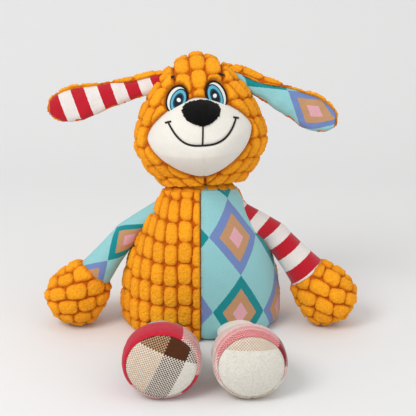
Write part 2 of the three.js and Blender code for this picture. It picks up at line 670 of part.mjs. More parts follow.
for (const side of ['right', 'left']) {
  const splay = radians(LEG_SPLAY[side]);
  const leg = aimed(hip(side), new THREE.Vector3(
    SIDE[side] * Math.sin(splay) * Math.cos(legRise),
    -Math.cos(splay) * Math.cos(legRise),
    Math.sin(legRise),
  ), UP);
  toy.add(leg);
  const lift = LEFT.clone().negate();
  const clear = (piece) => clearOf(
    piece, bodyForm(-JOINT_GAP, NECK_Z), leg, lift, LEG_SWING, rootSeat(LEG_ROOT_RADIUS),
  );
  const sleeve = legShell.intersect(block({ z: [-REACH, LEG_LENGTH - halfGap] }));
  const sole = footShell.intersect(solid(bar(SOLE_RADIUS - halfGap, footWidest, REACH)));
  const upper = footShell.subtract(solid(bar(SOLE_RADIUS + halfGap, footWidest, REACH)));
  add(leg, `leg_${side}_sleeve`, clear(sleeve), side === 'right' ? ARGYLE_PRINT : WHITE_PILE);
  add(leg, `foot_${side}_upper`, upper, SHOE_PLAID);
  add(leg, `foot_${side}_sole`, sole, SOLE_PLAID);
  add(leg, `leg_${side}_stuffing`, clear(legForm(LIMB_CLOTH + SEAM_GAP)), FIBRE_FILL);
}

export default toy;
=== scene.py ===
import math

import bmesh
import bpy
import numpy as np
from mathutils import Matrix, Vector


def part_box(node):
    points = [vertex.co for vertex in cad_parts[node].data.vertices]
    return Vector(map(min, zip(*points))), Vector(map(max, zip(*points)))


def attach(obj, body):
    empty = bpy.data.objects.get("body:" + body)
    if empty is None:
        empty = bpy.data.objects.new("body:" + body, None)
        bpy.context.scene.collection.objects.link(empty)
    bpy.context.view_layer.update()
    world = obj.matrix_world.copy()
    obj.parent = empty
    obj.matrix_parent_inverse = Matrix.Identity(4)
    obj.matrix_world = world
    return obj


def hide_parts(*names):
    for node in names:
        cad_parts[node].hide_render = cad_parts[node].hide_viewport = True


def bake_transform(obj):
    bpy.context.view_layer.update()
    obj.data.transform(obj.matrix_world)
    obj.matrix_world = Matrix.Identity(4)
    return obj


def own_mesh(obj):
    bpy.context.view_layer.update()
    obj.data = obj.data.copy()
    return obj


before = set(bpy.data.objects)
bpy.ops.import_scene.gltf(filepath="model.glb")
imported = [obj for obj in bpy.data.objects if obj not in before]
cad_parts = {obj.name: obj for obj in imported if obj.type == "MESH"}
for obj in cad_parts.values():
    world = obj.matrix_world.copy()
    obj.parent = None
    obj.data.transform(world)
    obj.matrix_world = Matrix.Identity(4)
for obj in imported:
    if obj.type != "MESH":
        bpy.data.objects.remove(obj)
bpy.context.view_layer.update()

# Body cover
# Four panels sewn edge to edge above an oval seat: orange plush with padded cells on three of them,
# printed short pile on the toy's left front. The filling swells each panel between its seams.
MM = 0.001  # lengths here are in millimetres, and those of the scene in metres
SIDES = {"right": -1, "left": 1}  # the toy's own sides, and which way each lies along X
SEAT_RADIUS = 61
BODY_HALF_WIDTH = 71.5
BODY_HALF_DEPTH = 56
BELLY_Z = 14
FLANK_Z = 80
SHOULDER_SLOPE_RADIUS = 28
SHOULDER_SLOPE_Z = 112
NECK_RADIUS = 33
NECK_Z = 123
NECK_TILT = math.radians(12)
NECK_LIFT = 2.5  # the covers of the body and the head meet this far above the middle of the neck
NECK_TUCK = (3.2, 10.5, 3)  # this far below that seam the panels turn in, to end inside and above it
SIDE_SEAM = {"right": math.pi / 2, "left": 1.7}  # radians from the front seam
SEAM_TURN = 0.0005  # radians between the edges of two panels
FLOOR_GAP = 0.3  # left under the cloth
PLUSH_STEP = 0.66  # between points of the plush cloth
PLUSH_INSET = 1.8  # ground of the plush inside the padded size
PLUSH_CLOTH = 1.5
PLUSH_COLUMN = 12.4
PLUSH_ROW = 19.2
PLUSH_CELL = 3.8
PLUSH_SEAM = 1.0
PLUSH_WANDER = 2.2  # how far the grooves stray
ROW_JITTER = 0.4  # part of a row by which the columns of cells are out of step
COLUMNS_CLOSE = 0.2  # how far the columns of cells close up where the body narrows
COLUMN_START = 5  # width of the column that the front seam cuts off
# Painted shade: the plush's orange at the tops of the cells darkens to the next colour deep in the
# grooves and at the seams
ORANGE_TOP = (252, 166, 30)
ORANGE_GROOVE_SHADE = (200, 94, 4)
ORANGE_SHEEN = (255, 170, 60)
ORANGE_SHADE_DEPTH = 0.75  # how fast the painted shade darkens the colour into a groove
ORANGE_TONES = (0.12, 0.92)  # how far the cells differ, above this share of the colour
PRINT_STEP = 1.0
PRINT_CLOTH = 1.2
PRINT_INSET = 0.4
ARGYLE_HALF = (24.6, 34.6)  # half a diamond across and along
ARGYLE_ANGLE = 0.60  # radians from the front seam to the middle of a column of diamonds
ARGYLE_HEIGHT = 90  # middle of the belly diamond
ARGYLE_LEAN = 0.1  # the columns of diamonds lean and the rows dip by these shares
ARGYLE_DIP = 0.13
ARGYLE_RAGGED = (500, 0.05)  # scale and depth of the ragged edge of a diamond
TEAL_LIGHT = (143, 199, 203)
TEAL_DARK = (10, 136, 142)
PERIWINKLE = (112, 134, 186)
TAN = (190, 144, 104)
PINK = (219, 164, 174)
ARGYLE_BANDS = ((0.65, TAN), (0.29, PINK))  # as shares of a diamond


def smooth(value, low, high):
    """0 at low and 1 at high, easing in and out between them."""
    share = np.clip((value - low) / (high - low), 0, 1)
    return share * share * (3 - 2 * share)


def mix(low, high, share):
    return low + (high - low) * share


def bezier(*corners, steps=80):
    """Points along a Bezier curve of any degree."""
    share = np.linspace(0, 1, steps)[:, None]
    levels = [np.tile(np.array(corner, float), (steps, 1)) for corner in corners]
    while len(levels) > 1:
        levels = [mix(low, high, share) for low, high in zip(levels, levels[1:])]
    return levels[0]


def stacked(*parts):
    """Lengths along each axis as points."""
    return np.stack(np.broadcast_arrays(*parts), axis=-1)


def turned(across, up, angle):
    """Lengths across and up as they lie along axes that are turned by an angle."""
    return (
        across * math.cos(angle) + up * math.sin(angle), up * math.cos(angle) - across * math.sin(angle),
    )


def run_along(points, axis=0):
    """Distance run along rows or columns of points, from the first one."""
    step = np.linalg.norm(np.diff(points, axis=axis), axis=-1)
    start = np.zeros_like(np.take(step, [0], axis))
    return np.concatenate([start, np.cumsum(step, axis)], axis)


def from_ends(run):
    """Distance of each point of a row from the nearer end of its row."""
    return np.minimum(run, run[:, -1:] - run)


def spaced(path, count):
    """The same path with a number of points at equal distances."""
    run = run_along(path)
    where = np.linspace(0, run[-1], count)
    return np.column_stack([np.interp(where, run, axis) for axis in path.T])


def evenly(path, step):
    """The same path with points about one step apart."""
    return spaced(path, int(run_along(path)[-1] / step) + 1)


def moved_in(wall, distance):
    """An outline of radius and height moved in by a distance."""
    along = np.gradient(wall, axis=0)
    along /= np.linalg.norm(along, axis=1, keepdims=True)
    moved = wall + distance * np.column_stack([-along[:, 1], along[:, 0]])
    return np.column_stack([np.maximum(moved[:, 0], 0), moved[:, 1]])


def add_object(name, data):
    made = bpy.data.objects.new(name, data)
    bpy.context.scene.collection.objects.link(made)
    return made


def join_points(mesh, distance):
    """Joins the points of a mesh that lie together."""
    form = bmesh.new()
    form.from_mesh(mesh)
    bmesh.ops.remove_doubles(form, verts=form.verts, dist=distance)
    form.to_mesh(mesh)
    form.free()


def note(mesh, label, vectors):
    """Keeps a vector for each point of a mesh."""
    layer = mesh.attributes.new(label, "FLOAT_VECTOR", "POINT")
    layer.data.foreach_set("vector", vectors.astype(np.float32).ravel())


def sew(node, grid, flat, cloth, core, edge=0, wrapped=False, relief=0, unit=(1, 1)):
    """The closed piece of cloth for a node, its outer face on a grid of points in millimetres.

    flat is each point's place on the uncut cloth, unit the repeat of its print, and edge each
    point's distance from a seam. The inner face lies one cloth thickness nearer to the core.
    """
    shape = grid.shape[:2]
    out = np.cross(np.gradient(grid, axis=1), np.gradient(grid, axis=0))
    if wrapped:
        out[:, 0] = out[:, -1] = out[:, 0] + out[:, -1]
    poles = [np.ptp(grid[row], axis=0).max() < 1e-3 for row in (0, -1)]
    for row, beside, pole in zip((0, -1), (1, -2), poles):
        if pole:
            out[row] = out[beside].sum(axis=0)
    out /= np.maximum(np.linalg.norm(out, axis=-1, keepdims=True), 1e-9)
    inside_out = np.sum(out * (grid - core)) < 0
    if inside_out:
        out = -out
    outer = grid + out * np.broadcast_to(relief, shape)[..., None]
    points = np.concatenate([outer.reshape(-1, 3), (grid - out * cloth).reshape(-1, 3)]) * MM
    count = shape[0] * shape[1]
    place = np.arange(count).reshape(shape)
    quads = np.stack([place[:-1, :-1], place[:-1, 1:], place[1:, 1:], place[1:, :-1]], axis=-1)
    faces = [quads.reshape(-1, 4), quads.reshape(-1, 4)[:, ::-1] + count]
    rims = [] if wrapped else [place[:, -1], place[::-1, 0]]
    rims += [rim for rim, pole in zip((place[0], place[-1, ::-1]), poles) if not pole]
    for rim in rims:
        start, end = rim[:-1], rim[1:]
        faces.append(np.stack([end, start, start + count, end + count], axis=-1))
    rounded = np.arange(sum(map(len, faces))) < 2 * len(faces[0])
    faces = np.concatenate(faces)
    if inside_out:
        faces = faces[:, ::-1]
    mesh = bpy.data.meshes.new(node)
    mesh.from_pydata(points.tolist(), [], faces.tolist())
    cut = np.tile(flat.reshape(-1, 2), (2, 1))
    prints = (cut / np.array(unit))[faces.ravel()]
    mesh.uv_layers.new(name="cloth").data.foreach_set("uv", prints.ravel())
    seam = np.tile(np.broadcast_to(edge, shape).reshape(-1, 1), (2, 1))
    note(mesh, "flat", np.hstack([cut, seam]) * MM)
    note(mesh, "out", np.vstack([out.reshape(-1, 3), np.zeros((count, 3))]))
    mesh.polygons.foreach_set("use_smooth", rounded)
    if wrapped or any(poles):
        join_points(mesh, 1e-5)
    return add_object(f"{node}_cloth", mesh)


def plug(tree, value, socket):
    """Gives a socket a value, or links it to another socket."""
    if isinstance(value, bpy.types.NodeSocket):
        tree.links.new(value, socket)
    else:
        socket.default_value = value


def add_node(tree, kind, inputs=(), output=0, **settings):
    """One node with its settings and its inputs, values or sockets. Gives an output socket."""
    made = tree.nodes.new(kind)
    for setting, value in settings.items():
        setattr(made, setting, value)
    for key, value in dict(inputs).items():
        plug(tree, value, made.inputs[key])
    return made.outputs[output]


def calc(tree, operation, *values):
    return add_node(tree, "ShaderNodeMath", dict(enumerate(values)), operation=operation)


def scaled(tree, vector, scale):
    return add_node(tree, "ShaderNodeVectorMath", {0: vector, "Scale": scale}, operation="SCALE")


def joined(tree, *parts):
    return add_node(tree, "ShaderNodeCombineXYZ", dict(enumerate(parts)))


def split(tree, vector):
    made = tree.nodes.new("ShaderNodeSeparateXYZ")
    tree.links.new(vector, made.inputs[0])
    return made.outputs


def ease(tree, value, low, high):
    """A value as 0 at low and 1 at high, easing in and out."""
    limits = {"Value": value, "From Min": low, "From Max": high}
    return add_node(tree, "ShaderNodeMapRange", limits, interpolation_type="SMOOTHSTEP")


def noise(tree, place, scale, detail=2.0, output=0):
    wanted = {"Vector": place, "Scale": scale, "Detail": detail}
    return add_node(tree, "ShaderNodeTexNoise", wanted, output)


def uneven(tree, place, scale, amount):
    """A length that drifts over a range of this amount, with 0 in its middle."""
    return calc(tree, "MULTIPLY", calc(tree, "SUBTRACT", noise(tree, place, scale), 0.5), amount)


def by_chance(tree, *parts):
    """A random share that is the same wherever these parts are."""
    return add_node(tree, "ShaderNodeTexWhiteNoise", {"Vector": joined(tree, *parts)})


def noted(tree, label):
    """A vector that a mesh keeps for each point."""
    return add_node(tree, "GeometryNodeInputNamedAttribute", {"Name": label}, data_type="FLOAT_VECTOR")


def new_tree(name, kind, sizes):
    """A Geometry Nodes tree with a piece, named sizes and a material as its inputs."""
    tree = bpy.data.node_groups.new(name, "GeometryNodeTree")
    wanted = [(kind, "Geometry"), *((size, "Float") for size in sizes), ("Material", "Material")]
    for label, sort in wanted:
        tree.interface.new_socket(label, in_out="INPUT", socket_type=f"NodeSocket{sort}")
    tree.interface.new_socket(kind, in_out="OUTPUT", socket_type="NodeSocketGeometry")
    return tree, tree.nodes.new("NodeGroupInput").outputs


def end_tree(tree, given, geometry):
    """Makes the geometry real, gives it its material and ends the tree."""
    real = add_node(tree, "GeometryNodeRealizeInstances", {"Geometry": geometry})
    dyed = add_node(tree, "GeometryNodeSetMaterial", {"Geometry": real, "Material": given["Material"]})
    tree.links.new(dyed, tree.nodes.new("NodeGroupOutput").inputs[0])


def cloth_place(tree, given):
    """A point's place on the uncut cloth with its distance from a seam, and a place for noise."""
    flat = split(tree, noted(tree, "flat"))
    return flat, joined(tree, flat[0], flat[1], given["Seed"])


def pulled_down(tree, given, from_seam, width):
    """How far the thread of a seam pulls the cloth down beside it."""
    rising = calc(tree, "SUBTRACT", ease(tree, from_seam, 0, width), 1)
    return calc(tree, "MULTIPLY", given["Seam depth"], rising)


def raise_cloth(tree, given, height, stored):
    """Moves the outer face out by a height, keeps it above the floor and ends the tree."""
    lift = scaled(tree, noted(tree, "out"), height)
    moved = add_node(tree, "GeometryNodeSetPosition", {"Geometry": given["Cloth"], "Offset": lift})
    where = split(tree, add_node(tree, "GeometryNodeInputPosition"))
    above = joined(tree, where[0], where[1], calc(tree, "MAXIMUM", where[2], given["Floor"]))
    rested = add_node(tree, "GeometryNodeSetPosition", {"Geometry": moved, "Position": above})
    for label, value in stored.items():
        rested = add_node(tree, "GeometryNodeStoreNamedAttribute", {
            "Geometry": rested, "Name": label, "Value": value,
        }, data_type="FLOAT", domain="POINT")
    end_tree(tree, given, rested)


# Plush: rows of padded cells between thin grooves, a little uneven, pulled down at the seams.
# Lengths in a tree are in metres.
WANDER_SCALE = 45
CELL_SHARE = (0.955, 0.98)  # of a column and of a row, which a cell fills
CELL_SQUARE = (2.8, 3.8)  # how square a cell is across and along
CELL_ROUND = 0.32  # how round its edges are
CELL_CHANCE = 0.03  # how far cells differ in size
CELL_HEIGHTS = (0.25, 0.85)  # how far they differ in height, above this share of it
SEAM_GROOVE = 0.0018
SEAM_PULL = 0.004
TUFT = (420, 0.0024)  # scale and height of the tufts on a cell
tree, given = new_tree("plush_cells", "Cloth", (
    "Column width", "Row height", "Cell height", "Seam depth", "Wander", "Row jitter", "Brick",
    "Seed", "Floor",
))
plush_cells = tree
flat, spot = cloth_place(tree, given)
drift = split(tree, noise(tree, spot, WANDER_SCALE, output=1))
placed = []
for axis, pitch in enumerate(("Column width", "Row height")):
    wandered = calc(tree, "MULTIPLY", calc(tree, "SUBTRACT", drift[axis], 0.5), given["Wander"])
    placed.append(calc(tree, "DIVIDE", calc(tree, "ADD", flat[axis], wandered), given[pitch]))
column = calc(tree, "FLOOR", placed[0])
slip = calc(tree, "MULTIPLY", by_chance(tree, column, 0, given["Seed"]), given["Row jitter"])
odd = calc(tree, "MULTIPLY", calc(tree, "FLOORED_MODULO", column, 2), given["Brick"])
along = calc(tree, "ADD", placed[1], calc(tree, "ADD", odd, slip))
row = calc(tree, "FLOOR", along)
chance = by_chance(tree, column, row, given["Seed"])
corner = []
for value, whole, reach, power in zip((placed[0], along), (column, row), CELL_SHARE, CELL_SQUARE):
    middle = calc(tree, "MULTIPLY_ADD", calc(tree, "SUBTRACT", value, whole), 2, -1)
    longer = calc(tree, "MULTIPLY_ADD", chance, CELL_CHANCE, reach)
    share = calc(tree, "DIVIDE", calc(tree, "ABSOLUTE", middle), longer)
    corner.append(calc(tree, "POWER", share, power))
inside = calc(tree, "MAXIMUM", calc(tree, "SUBTRACT", 1, calc(tree, "ADD", *corner)), 0)
pillow = calc(tree, "POWER", inside, CELL_ROUND)
pile = calc(tree, "MULTIPLY", pillow, ease(tree, flat[2], 0, SEAM_GROOVE))
size = calc(tree, "MULTIPLY", given["Cell height"], calc(tree, "MULTIPLY_ADD", chance, *CELL_HEIGHTS))
pulled = pulled_down(tree, given, flat[2], SEAM_PULL)
height = calc(tree, "ADD", calc(tree, "MULTIPLY", pile, size), calc(
    tree, "ADD", pulled, uneven(tree, spot, *TUFT),
))
raise_cloth(tree, given, height, {"pile": pile, "tone": chance})

# Smooth cloth: a gentle unevenness from the filling under it, pulled down at the seams.
tree, given = new_tree("stuffed_cloth", "Cloth", (
    "Lump height", "Lump scale", "Seam depth", "Seam width", "Seed", "Floor",
))
stuffed_cloth = tree
flat, spot = cloth_place(tree, given)
lump = uneven(tree, spot, given["Lump scale"], given["Lump height"])
pulled = pulled_down(tree, given, flat[2], given["Seam width"])
raise_cloth(tree, given, calc(tree, "ADD", lump, pulled), {})


def run_tree(piece, tree, material, **sizes):
    """Runs a tree on a piece and keeps the mesh that it gives. Sizes are in metres."""
    modifier = piece.modifiers.new(tree.name, "NODES")
    modifier.node_group = tree
    for item in tree.interface.items_tree:
        label = item.name.lower().replace(" ", "_")
        if item.in_out == "INPUT" and label in sizes:
            modifier[item.identifier] = float(sizes[label])
        elif item.in_out == "INPUT" and label == "material":
            modifier[item.identifier] = material
    graph = bpy.context.evaluated_depsgraph_get()
    made = bpy.data.meshes.new_from_object(
        piece.evaluated_get(graph), preserve_all_data_layers=True, depsgraph=graph,
    )
    piece.modifiers.remove(modifier)
    made.name = piece.name
    piece.data = made


def plush(piece, seed, cell=PLUSH_CELL, column=PLUSH_COLUMN, row=PLUSH_ROW, brick=0.0,
          wander=PLUSH_WANDER):
    """Raises the padded cells of a piece of plush. Sizes are in millimetres."""
    run_tree(
        piece, plush_cells, orange_plush, column_width=column * MM, row_height=row * MM,
        cell_height=cell * MM, seam_depth=PLUSH_SEAM * MM, wander=wander * MM, row_jitter=ROW_JITTER,
        brick=brick, seed=seed, floor=FLOOR_GAP * MM,
    )


def stuffed(piece, material, seed, lump=1.6, seam=0.0, width=6.0, scale=40):
    """Makes a piece of smooth cloth a little uneven. Sizes are in millimetres."""
    run_tree(
        piece, stuffed_cloth, material, lump_height=lump * MM, lump_scale=scale,
        seam_depth=seam * MM, seam_width=width * MM, seed=seed, floor=FLOOR_GAP * MM,
    )


def stands_for(node):
    """A piece takes the place of a CAD node, which is hidden."""
    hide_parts(node)


def paint(colour):
    """A colour written in 0 to 255 as the linear colour that a shader takes."""
    share = np.array(colour) / 255
    linear = np.where(share <= 0.04045, share / 12.92, ((share + 0.055) / 1.055) ** 2.4)
    return (*linear.tolist(), 1)


def new_finish(name, roughness, sheen=0.0, tint=(255, 255, 255), gloss=0.2):
    """A material with one plain shader, its tree and that shader."""
    material = bpy.data.materials.new(name)
    material.use_nodes = True
    tree = material.node_tree
    shader = tree.nodes["Principled BSDF"]
    shader.inputs["Roughness"].default_value = roughness
    shader.inputs["Sheen Weight"].default_value = sheen
    shader.inputs["Sheen Roughness"].default_value = 0.5
    shader.inputs["Sheen Tint"].default_value = paint(tint)
    shader.inputs["Specular IOR Level"].default_value = gloss
    return material, tree, shader


def blend_colour(tree, share, low, high):
    """One colour at a share of 0 and another at 1."""
    made = tree.nodes.new("ShaderNodeMix")
    made.data_type = "RGBA"
    for key, value in (("Factor", share), ("A", low), ("B", high)):
        plug(tree, value, next(s for s in made.inputs if s.name == key and s.enabled))
    return next(s for s in made.outputs if s.enabled)


def on_object(tree):
    return add_node(tree, "ShaderNodeTexCoord", output=3)


def on_cloth(tree):
    return add_node(tree, "ShaderNodeUVMap", uv_map="cloth")


def mottled(tree, scale, low, high):
    """A colour that drifts between two others over the object."""
    return blend_colour(tree, noise(tree, on_object(tree), scale), paint(low), paint(high))


def napped(tree, shader, colour, scale, depth, tuft_shade):
    """Short pile: fine bumps, and painted shade that darkens the colour between the tufts, where the
    bumps are low.
    """
    tuft = noise(tree, on_object(tree), scale, 3.0)
    # painted shade between the tufts, from the same noise as the bumps
    shade = add_node(tree, "ShaderNodeMapRange", {
        "Value": tuft, "From Min": 0.25, "From Max": 0.6, "To Min": 1 - tuft_shade, "To Max": 1.0,
    })
    plug(tree, scaled(tree, colour, shade), shader.inputs["Base Color"])
    bump = add_node(tree, "ShaderNodeBump", {"Height": tuft, "Distance": depth, "Strength": 0.6})
    plug(tree, bump, shader.inputs["Normal"])


orange_plush, tree, shader = new_finish("orange plush", 0.95, sheen=0.12, tint=ORANGE_SHEEN)
pile, tone = (
    add_node(tree, "ShaderNodeAttribute", output=2, attribute_name=label) for label in ("pile", "tone")
)
# Painted shade: the colour darkens from the tops of the cells into the grooves and seams between them,
# by the height share kept as pile
deep = calc(tree, "POWER", pile, ORANGE_SHADE_DEPTH)
colour = blend_colour(tree, deep, paint(ORANGE_GROOVE_SHADE), paint(ORANGE_TOP))
varied = scaled(tree, colour, calc(tree, "MULTIPLY_ADD", tone, *ORANGE_TONES))
napped(tree, shader, varied, scale=650, depth=0.0014, tuft_shade=0.27)

argyle_print, tree, shader = new_finish("argyle print", 0.9, sheen=0.2)
cloth = split(tree, on_cloth(tree))
index = []
spread = uneven(tree, on_object(tree), *ARGYLE_RAGGED)
for axis in (0, 1):
    nearest = calc(tree, "ROUND", calc(tree, "DIVIDE", cloth[axis], 2))
    offset = calc(tree, "SUBTRACT", cloth[axis], calc(tree, "MULTIPLY", nearest, 2))
    spread = calc(tree, "ADD", spread, calc(tree, "ABSOLUTE", offset))
    index.append(nearest)
other = calc(tree, "FLOORED_MODULO", calc(tree, "ADD", *index), 2)
colour = blend_colour(tree, other, paint(PERIWINKLE), paint(TEAL_DARK))
for limit, dye in ARGYLE_BANDS:
    colour = blend_colour(tree, calc(tree, "LESS_THAN", spread, limit), colour, paint(dye))
colour = blend_colour(tree, calc(tree, "GREATER_THAN", spread, 1.0), colour, paint(TEAL_LIGHT))
napped(tree, shader, colour, scale=1400, depth=0.0006, tuft_shade=0.12)

body_wall = np.vstack([
    bezier((SEAT_RADIUS, 0), (BODY_HALF_WIDTH, 0), (BODY_HALF_WIDTH, BELLY_Z)),
    bezier(
        (BODY_HALF_WIDTH, BELLY_Z), (BODY_HALF_WIDTH, FLANK_Z),
        (SHOULDER_SLOPE_RADIUS, SHOULDER_SLOPE_Z), (NECK_RADIUS, NECK_Z + NECK_LIFT),
    )[1:],
])
body_core = np.array([0, 0, NECK_Z / 2])


def body_radius(height):
    return np.interp(height, body_wall[:, 1], body_wall[:, 0])


def body_oval(height):
    """Depth of the body as a share of its width."""
    return mix(BODY_HALF_DEPTH / BODY_HALF_WIDTH, 1, smooth(height, BELLY_Z, NECK_Z))


def on_body(angle, radius, height):
    """Points on the bell of the body. An angle of 0 is the front, and it grows to the toy's left."""
    y = -radius * np.cos(angle) * body_oval(height)
    z = height - y * math.tan(NECK_TILT) * smooth(height, BELLY_Z, NECK_Z)
    return stacked(radius * np.sin(angle), y, z)


def body_panel(node, side, seam, inset, cloth, step, **print_sizes):
    """A quarter of the body cover, from its side seam to its front or back seam."""
    below, inwards, above = NECK_TUCK
    fold = body_wall[-1, 1] - below
    wall = np.vstack([body_wall[body_wall[:, 1] < fold], body_wall[-1] + [-inwards, above]])
    wall = evenly(moved_in(wall, inset), step)
    columns = int(BODY_HALF_WIDTH * math.pi / 2 / step)
    apart = SEAM_TURN if seam > 1 else -SEAM_TURN
    angle = np.linspace(SIDE_SEAM[side] + apart, seam - apart, columns)
    grid = on_body(SIDES[side] * angle[None, :], wall[:, 0:1], wall[:, 1:2])
    across = run_along(grid, axis=1)
    along = run_along(wall)
    edge = np.minimum(from_ends(across), along[:, None])
    edge = np.minimum(edge, np.maximum(fold - wall[:, 1:2], 0))
    up = np.interp(grid[..., 2], wall[:, 1], along)
    if "unit" in print_sizes:
        middle = np.argmin(np.abs(angle - ARGYLE_ANGLE))
        up = up - np.interp(ARGYLE_HEIGHT, wall[:, 1], along)
        across = across - across[:, middle:middle + 1] + ARGYLE_LEAN * up
        up = up - ARGYLE_DIP * across
    else:
        girth = across[:, -1:]
        across = (girth - across) * mix(1, girth.max() / girth, COLUMNS_CLOSE) + COLUMN_START
    return sew(node, grid, stacked(across, up), cloth, body_core, edge, **print_sizes)


for seed, (face, side, seam) in enumerate((
    ("back", "right", math.pi), ("back", "left", math.pi), ("front", "right", 0),
), 1):
    node = f"body_{face}_{side}"
    panel = body_panel(node, side, seam, PLUSH_INSET, PLUSH_CLOTH, PLUSH_STEP)
    plush(panel, seed)
    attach(panel, "torso")
    stands_for(node)
printed = body_panel(
    "body_front_left", "left", 0, PRINT_INSET, PRINT_CLOTH, PRINT_STEP, unit=ARGYLE_HALF,
)
stuffed(printed, argyle_print, 4, lump=1.8, seam=1.2)
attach(printed, "torso")
stands_for("body_front_left")


# Seat
# An oval of the same orange plush, cut flat so that the toy sits, and sewn round the body's rim.
SEAT_REST = 1.9  # height of the ground of the cloth above the floor
SEAT_CELL = 1.5
SEAT_SEAM = 0.3
SEAT_COLUMNS = 230
disc = np.linspace(0, SEAT_RADIUS - SEAT_SEAM, int(SEAT_RADIUS / PRINT_STEP))[:, None]
turn = np.linspace(0, 2 * math.pi, SEAT_COLUMNS)[None, :]
oval = stacked(disc * np.sin(turn), -disc * np.cos(turn) * BODY_HALF_DEPTH / BODY_HALF_WIDTH, SEAT_REST)
seat = sew(
    "base_panel", oval, oval[..., :2], PLUSH_CLOTH, np.array([0, 0, NECK_Z]), SEAT_RADIUS - disc,
    wrapped=True,
)
plush(seat, 5, cell=SEAT_CELL)
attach(seat, "torso")
stands_for("base_panel")


# Head cover
# Two side panels and a gusset that runs from the muzzle over the crown to the nape, all of orange
# plush. The cells follow each panel, and the cover is sewn to the body round the neck.
JAW_RADIUS = 38
JAW_RISE = 9
CHEEK_RADIUS = 56
JOWL_RADIUS = 50
JOWL_RISE = 20
CHEEK_RISE = 41
TEMPLE_RISE = 66
CROWN_RADIUS = 28
CROWN_RISE = 115
HEAD_HALF_DEPTH = 48
GUSSET_HALF_WIDTH = 20
GUSSET_ROWS = 300
GUSSET_COLUMNS = 1.5  # columns of cells on each side of its middle, where one is centred
CHIN_SEAM = (40, 60)  # the side panels part from the chin seam between these rises
CHEEK_TURN = 2.4  # radians that a side panel spans at the cheek
PANEL_GAP = 0.15  # from a panel's edge to the middle of its seam
HEAD_LEAN = math.radians(-3)
HEAD_TURN = math.radians(4)
HEAD_SHIFT = 3.5
NECK_PIVOT_DEPTH = 24
MUZZLE_HALF_WIDTH = 43.5
MUZZLE_MIDDLE = 53.5
MUZZLE_UP = 30.5
MUZZLE_DOWN = 35
MUZZLE_SHIFT = -2
MUZZLE_TILT = math.radians(4)
MUZZLE_POWER = 1.55
MUZZLE_SINK = 3.5
SINK_RUN = (2, 3)  # the plush sinks from outside the muzzle's seam to inside it
EYE_HALF = (8.2, 11.8)
EYE_MIDDLE = {"right": (-19.2, 83), "left": (13.2, 84.5)}
EYE_SLANT = {"right": math.radians(-31), "left": math.radians(22)}
HEAD_ROW = 17.5

head_wall = np.vstack([
    bezier(
        (NECK_RADIUS, NECK_LIFT), (JAW_RADIUS, JAW_RISE), (JOWL_RADIUS, JOWL_RISE),
        (CHEEK_RADIUS, CHEEK_RISE),
    ),
    bezier(
        (CHEEK_RADIUS, CHEEK_RISE), (CHEEK_RADIUS, TEMPLE_RISE), (CROWN_RADIUS, CROWN_RISE),
        (0, CROWN_RISE), steps=160,
    )[1:],
])
neck_axis = np.array([0, math.sin(NECK_TILT), math.cos(NECK_TILT)])
neck_pivot = np.array([0, 0, NECK_Z]) - NECK_PIVOT_DEPTH * neck_axis
head_place = np.array([HEAD_SHIFT, 0, NECK_Z]) - np.array([0, *neck_pivot[1:]])


def in_toy(points):
    """Points of the head, above the middle of the neck seam, in the frame of the toy."""
    lean = np.array([
        [math.cos(HEAD_LEAN), 0, math.sin(HEAD_LEAN)], [0, 1, 0],
        [-math.sin(HEAD_LEAN), 0, math.cos(HEAD_LEAN)],
    ])
    turn = np.array([
        [math.cos(HEAD_TURN), -math.sin(HEAD_TURN), 0],
        [math.sin(HEAD_TURN), math.cos(HEAD_TURN), 0], [0, 0, 1],
    ])
    return (points + head_place) @ (lean @ turn).T + neck_pivot


head_core = in_toy(np.array([0, 0, TEMPLE_RISE]))


def head_radius(rise):
    return np.interp(rise, head_wall[:, 1], head_wall[:, 0])


def head_depth(rise):
    return mix(1, HEAD_HALF_DEPTH / CHEEK_RADIUS, smooth(rise, 0, JOWL_RISE))


def head_slope(rise):
    return math.tan(NECK_TILT) * (1 - smooth(rise, 0, CHEEK_RISE))


def on_head(x, back, rise):
    """Points on the head at a distance from its middle plane, a share of depth and a rise."""
    y = back * head_depth(rise)
    return stacked(x, y, rise - y * head_slope(rise))


def head_front(x, z):
    """How far forward the head's padded surface lies at a place on its face."""
    rise = z
    for _ in range(5):
        y = -np.sqrt(np.maximum(head_radius(rise) ** 2 - x**2, 0)) * head_depth(rise)
        rise = z + y * head_slope(rise)
    return y


def muzzle_share(x, z):
    """0 at the middle of the muzzle and 1 along its seam, a rounded diamond."""
    across, up = turned(x - MUZZLE_SHIFT, z - MUZZLE_MIDDLE, MUZZLE_TILT)
    tall = np.where(up > 0, MUZZLE_UP, MUZZLE_DOWN)
    power = np.abs(across / MUZZLE_HALF_WIDTH) ** MUZZLE_POWER + np.abs(up / tall) ** MUZZLE_POWER
    return power ** (1 / MUZZLE_POWER)


def face_clearance(points):
    """Distance of points on the head's front from the muzzle's seam and from the eyes."""
    x, y, z = np.moveaxis(points, -1, 0)
    share = np.maximum(muzzle_share(x, z), 1e-3)
    clear = np.hypot(x - MUZZLE_SHIFT, z - MUZZLE_MIDDLE) * (1 - 1 / share)
    for side, middle in EYE_MIDDLE.items():
        across, up = turned(x - middle[0], z - middle[1], EYE_SLANT[side])
        ring = np.maximum(np.hypot(across / EYE_HALF[0], up / EYE_HALF[1]), 1e-3)
        clear = np.minimum(clear, np.hypot(across, up) * (1 - 1 / ring))
    return np.where(y < 0, clear, CROWN_RISE)


def nods(piece):
    """Bakes the place of a piece of the head into its mesh."""
    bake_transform(piece)


def head_panel(node, grid, across, along, rims, seed):
    """A panel of the head cover, sunk where the muzzle and the eyes lie over it."""
    clear = face_clearance(grid)
    sunk = -MUZZLE_SINK * smooth(-clear, -SINK_RUN[0], SINK_RUN[1])
    edge = np.minimum(np.maximum(clear, 0), rims)
    panel = sew(node, in_toy(grid), stacked(across, along), PLUSH_CLOTH, head_core, edge, relief=sunk)
    plush(panel, seed, row=HEAD_ROW)
    nods(panel)
    stands_for(node)


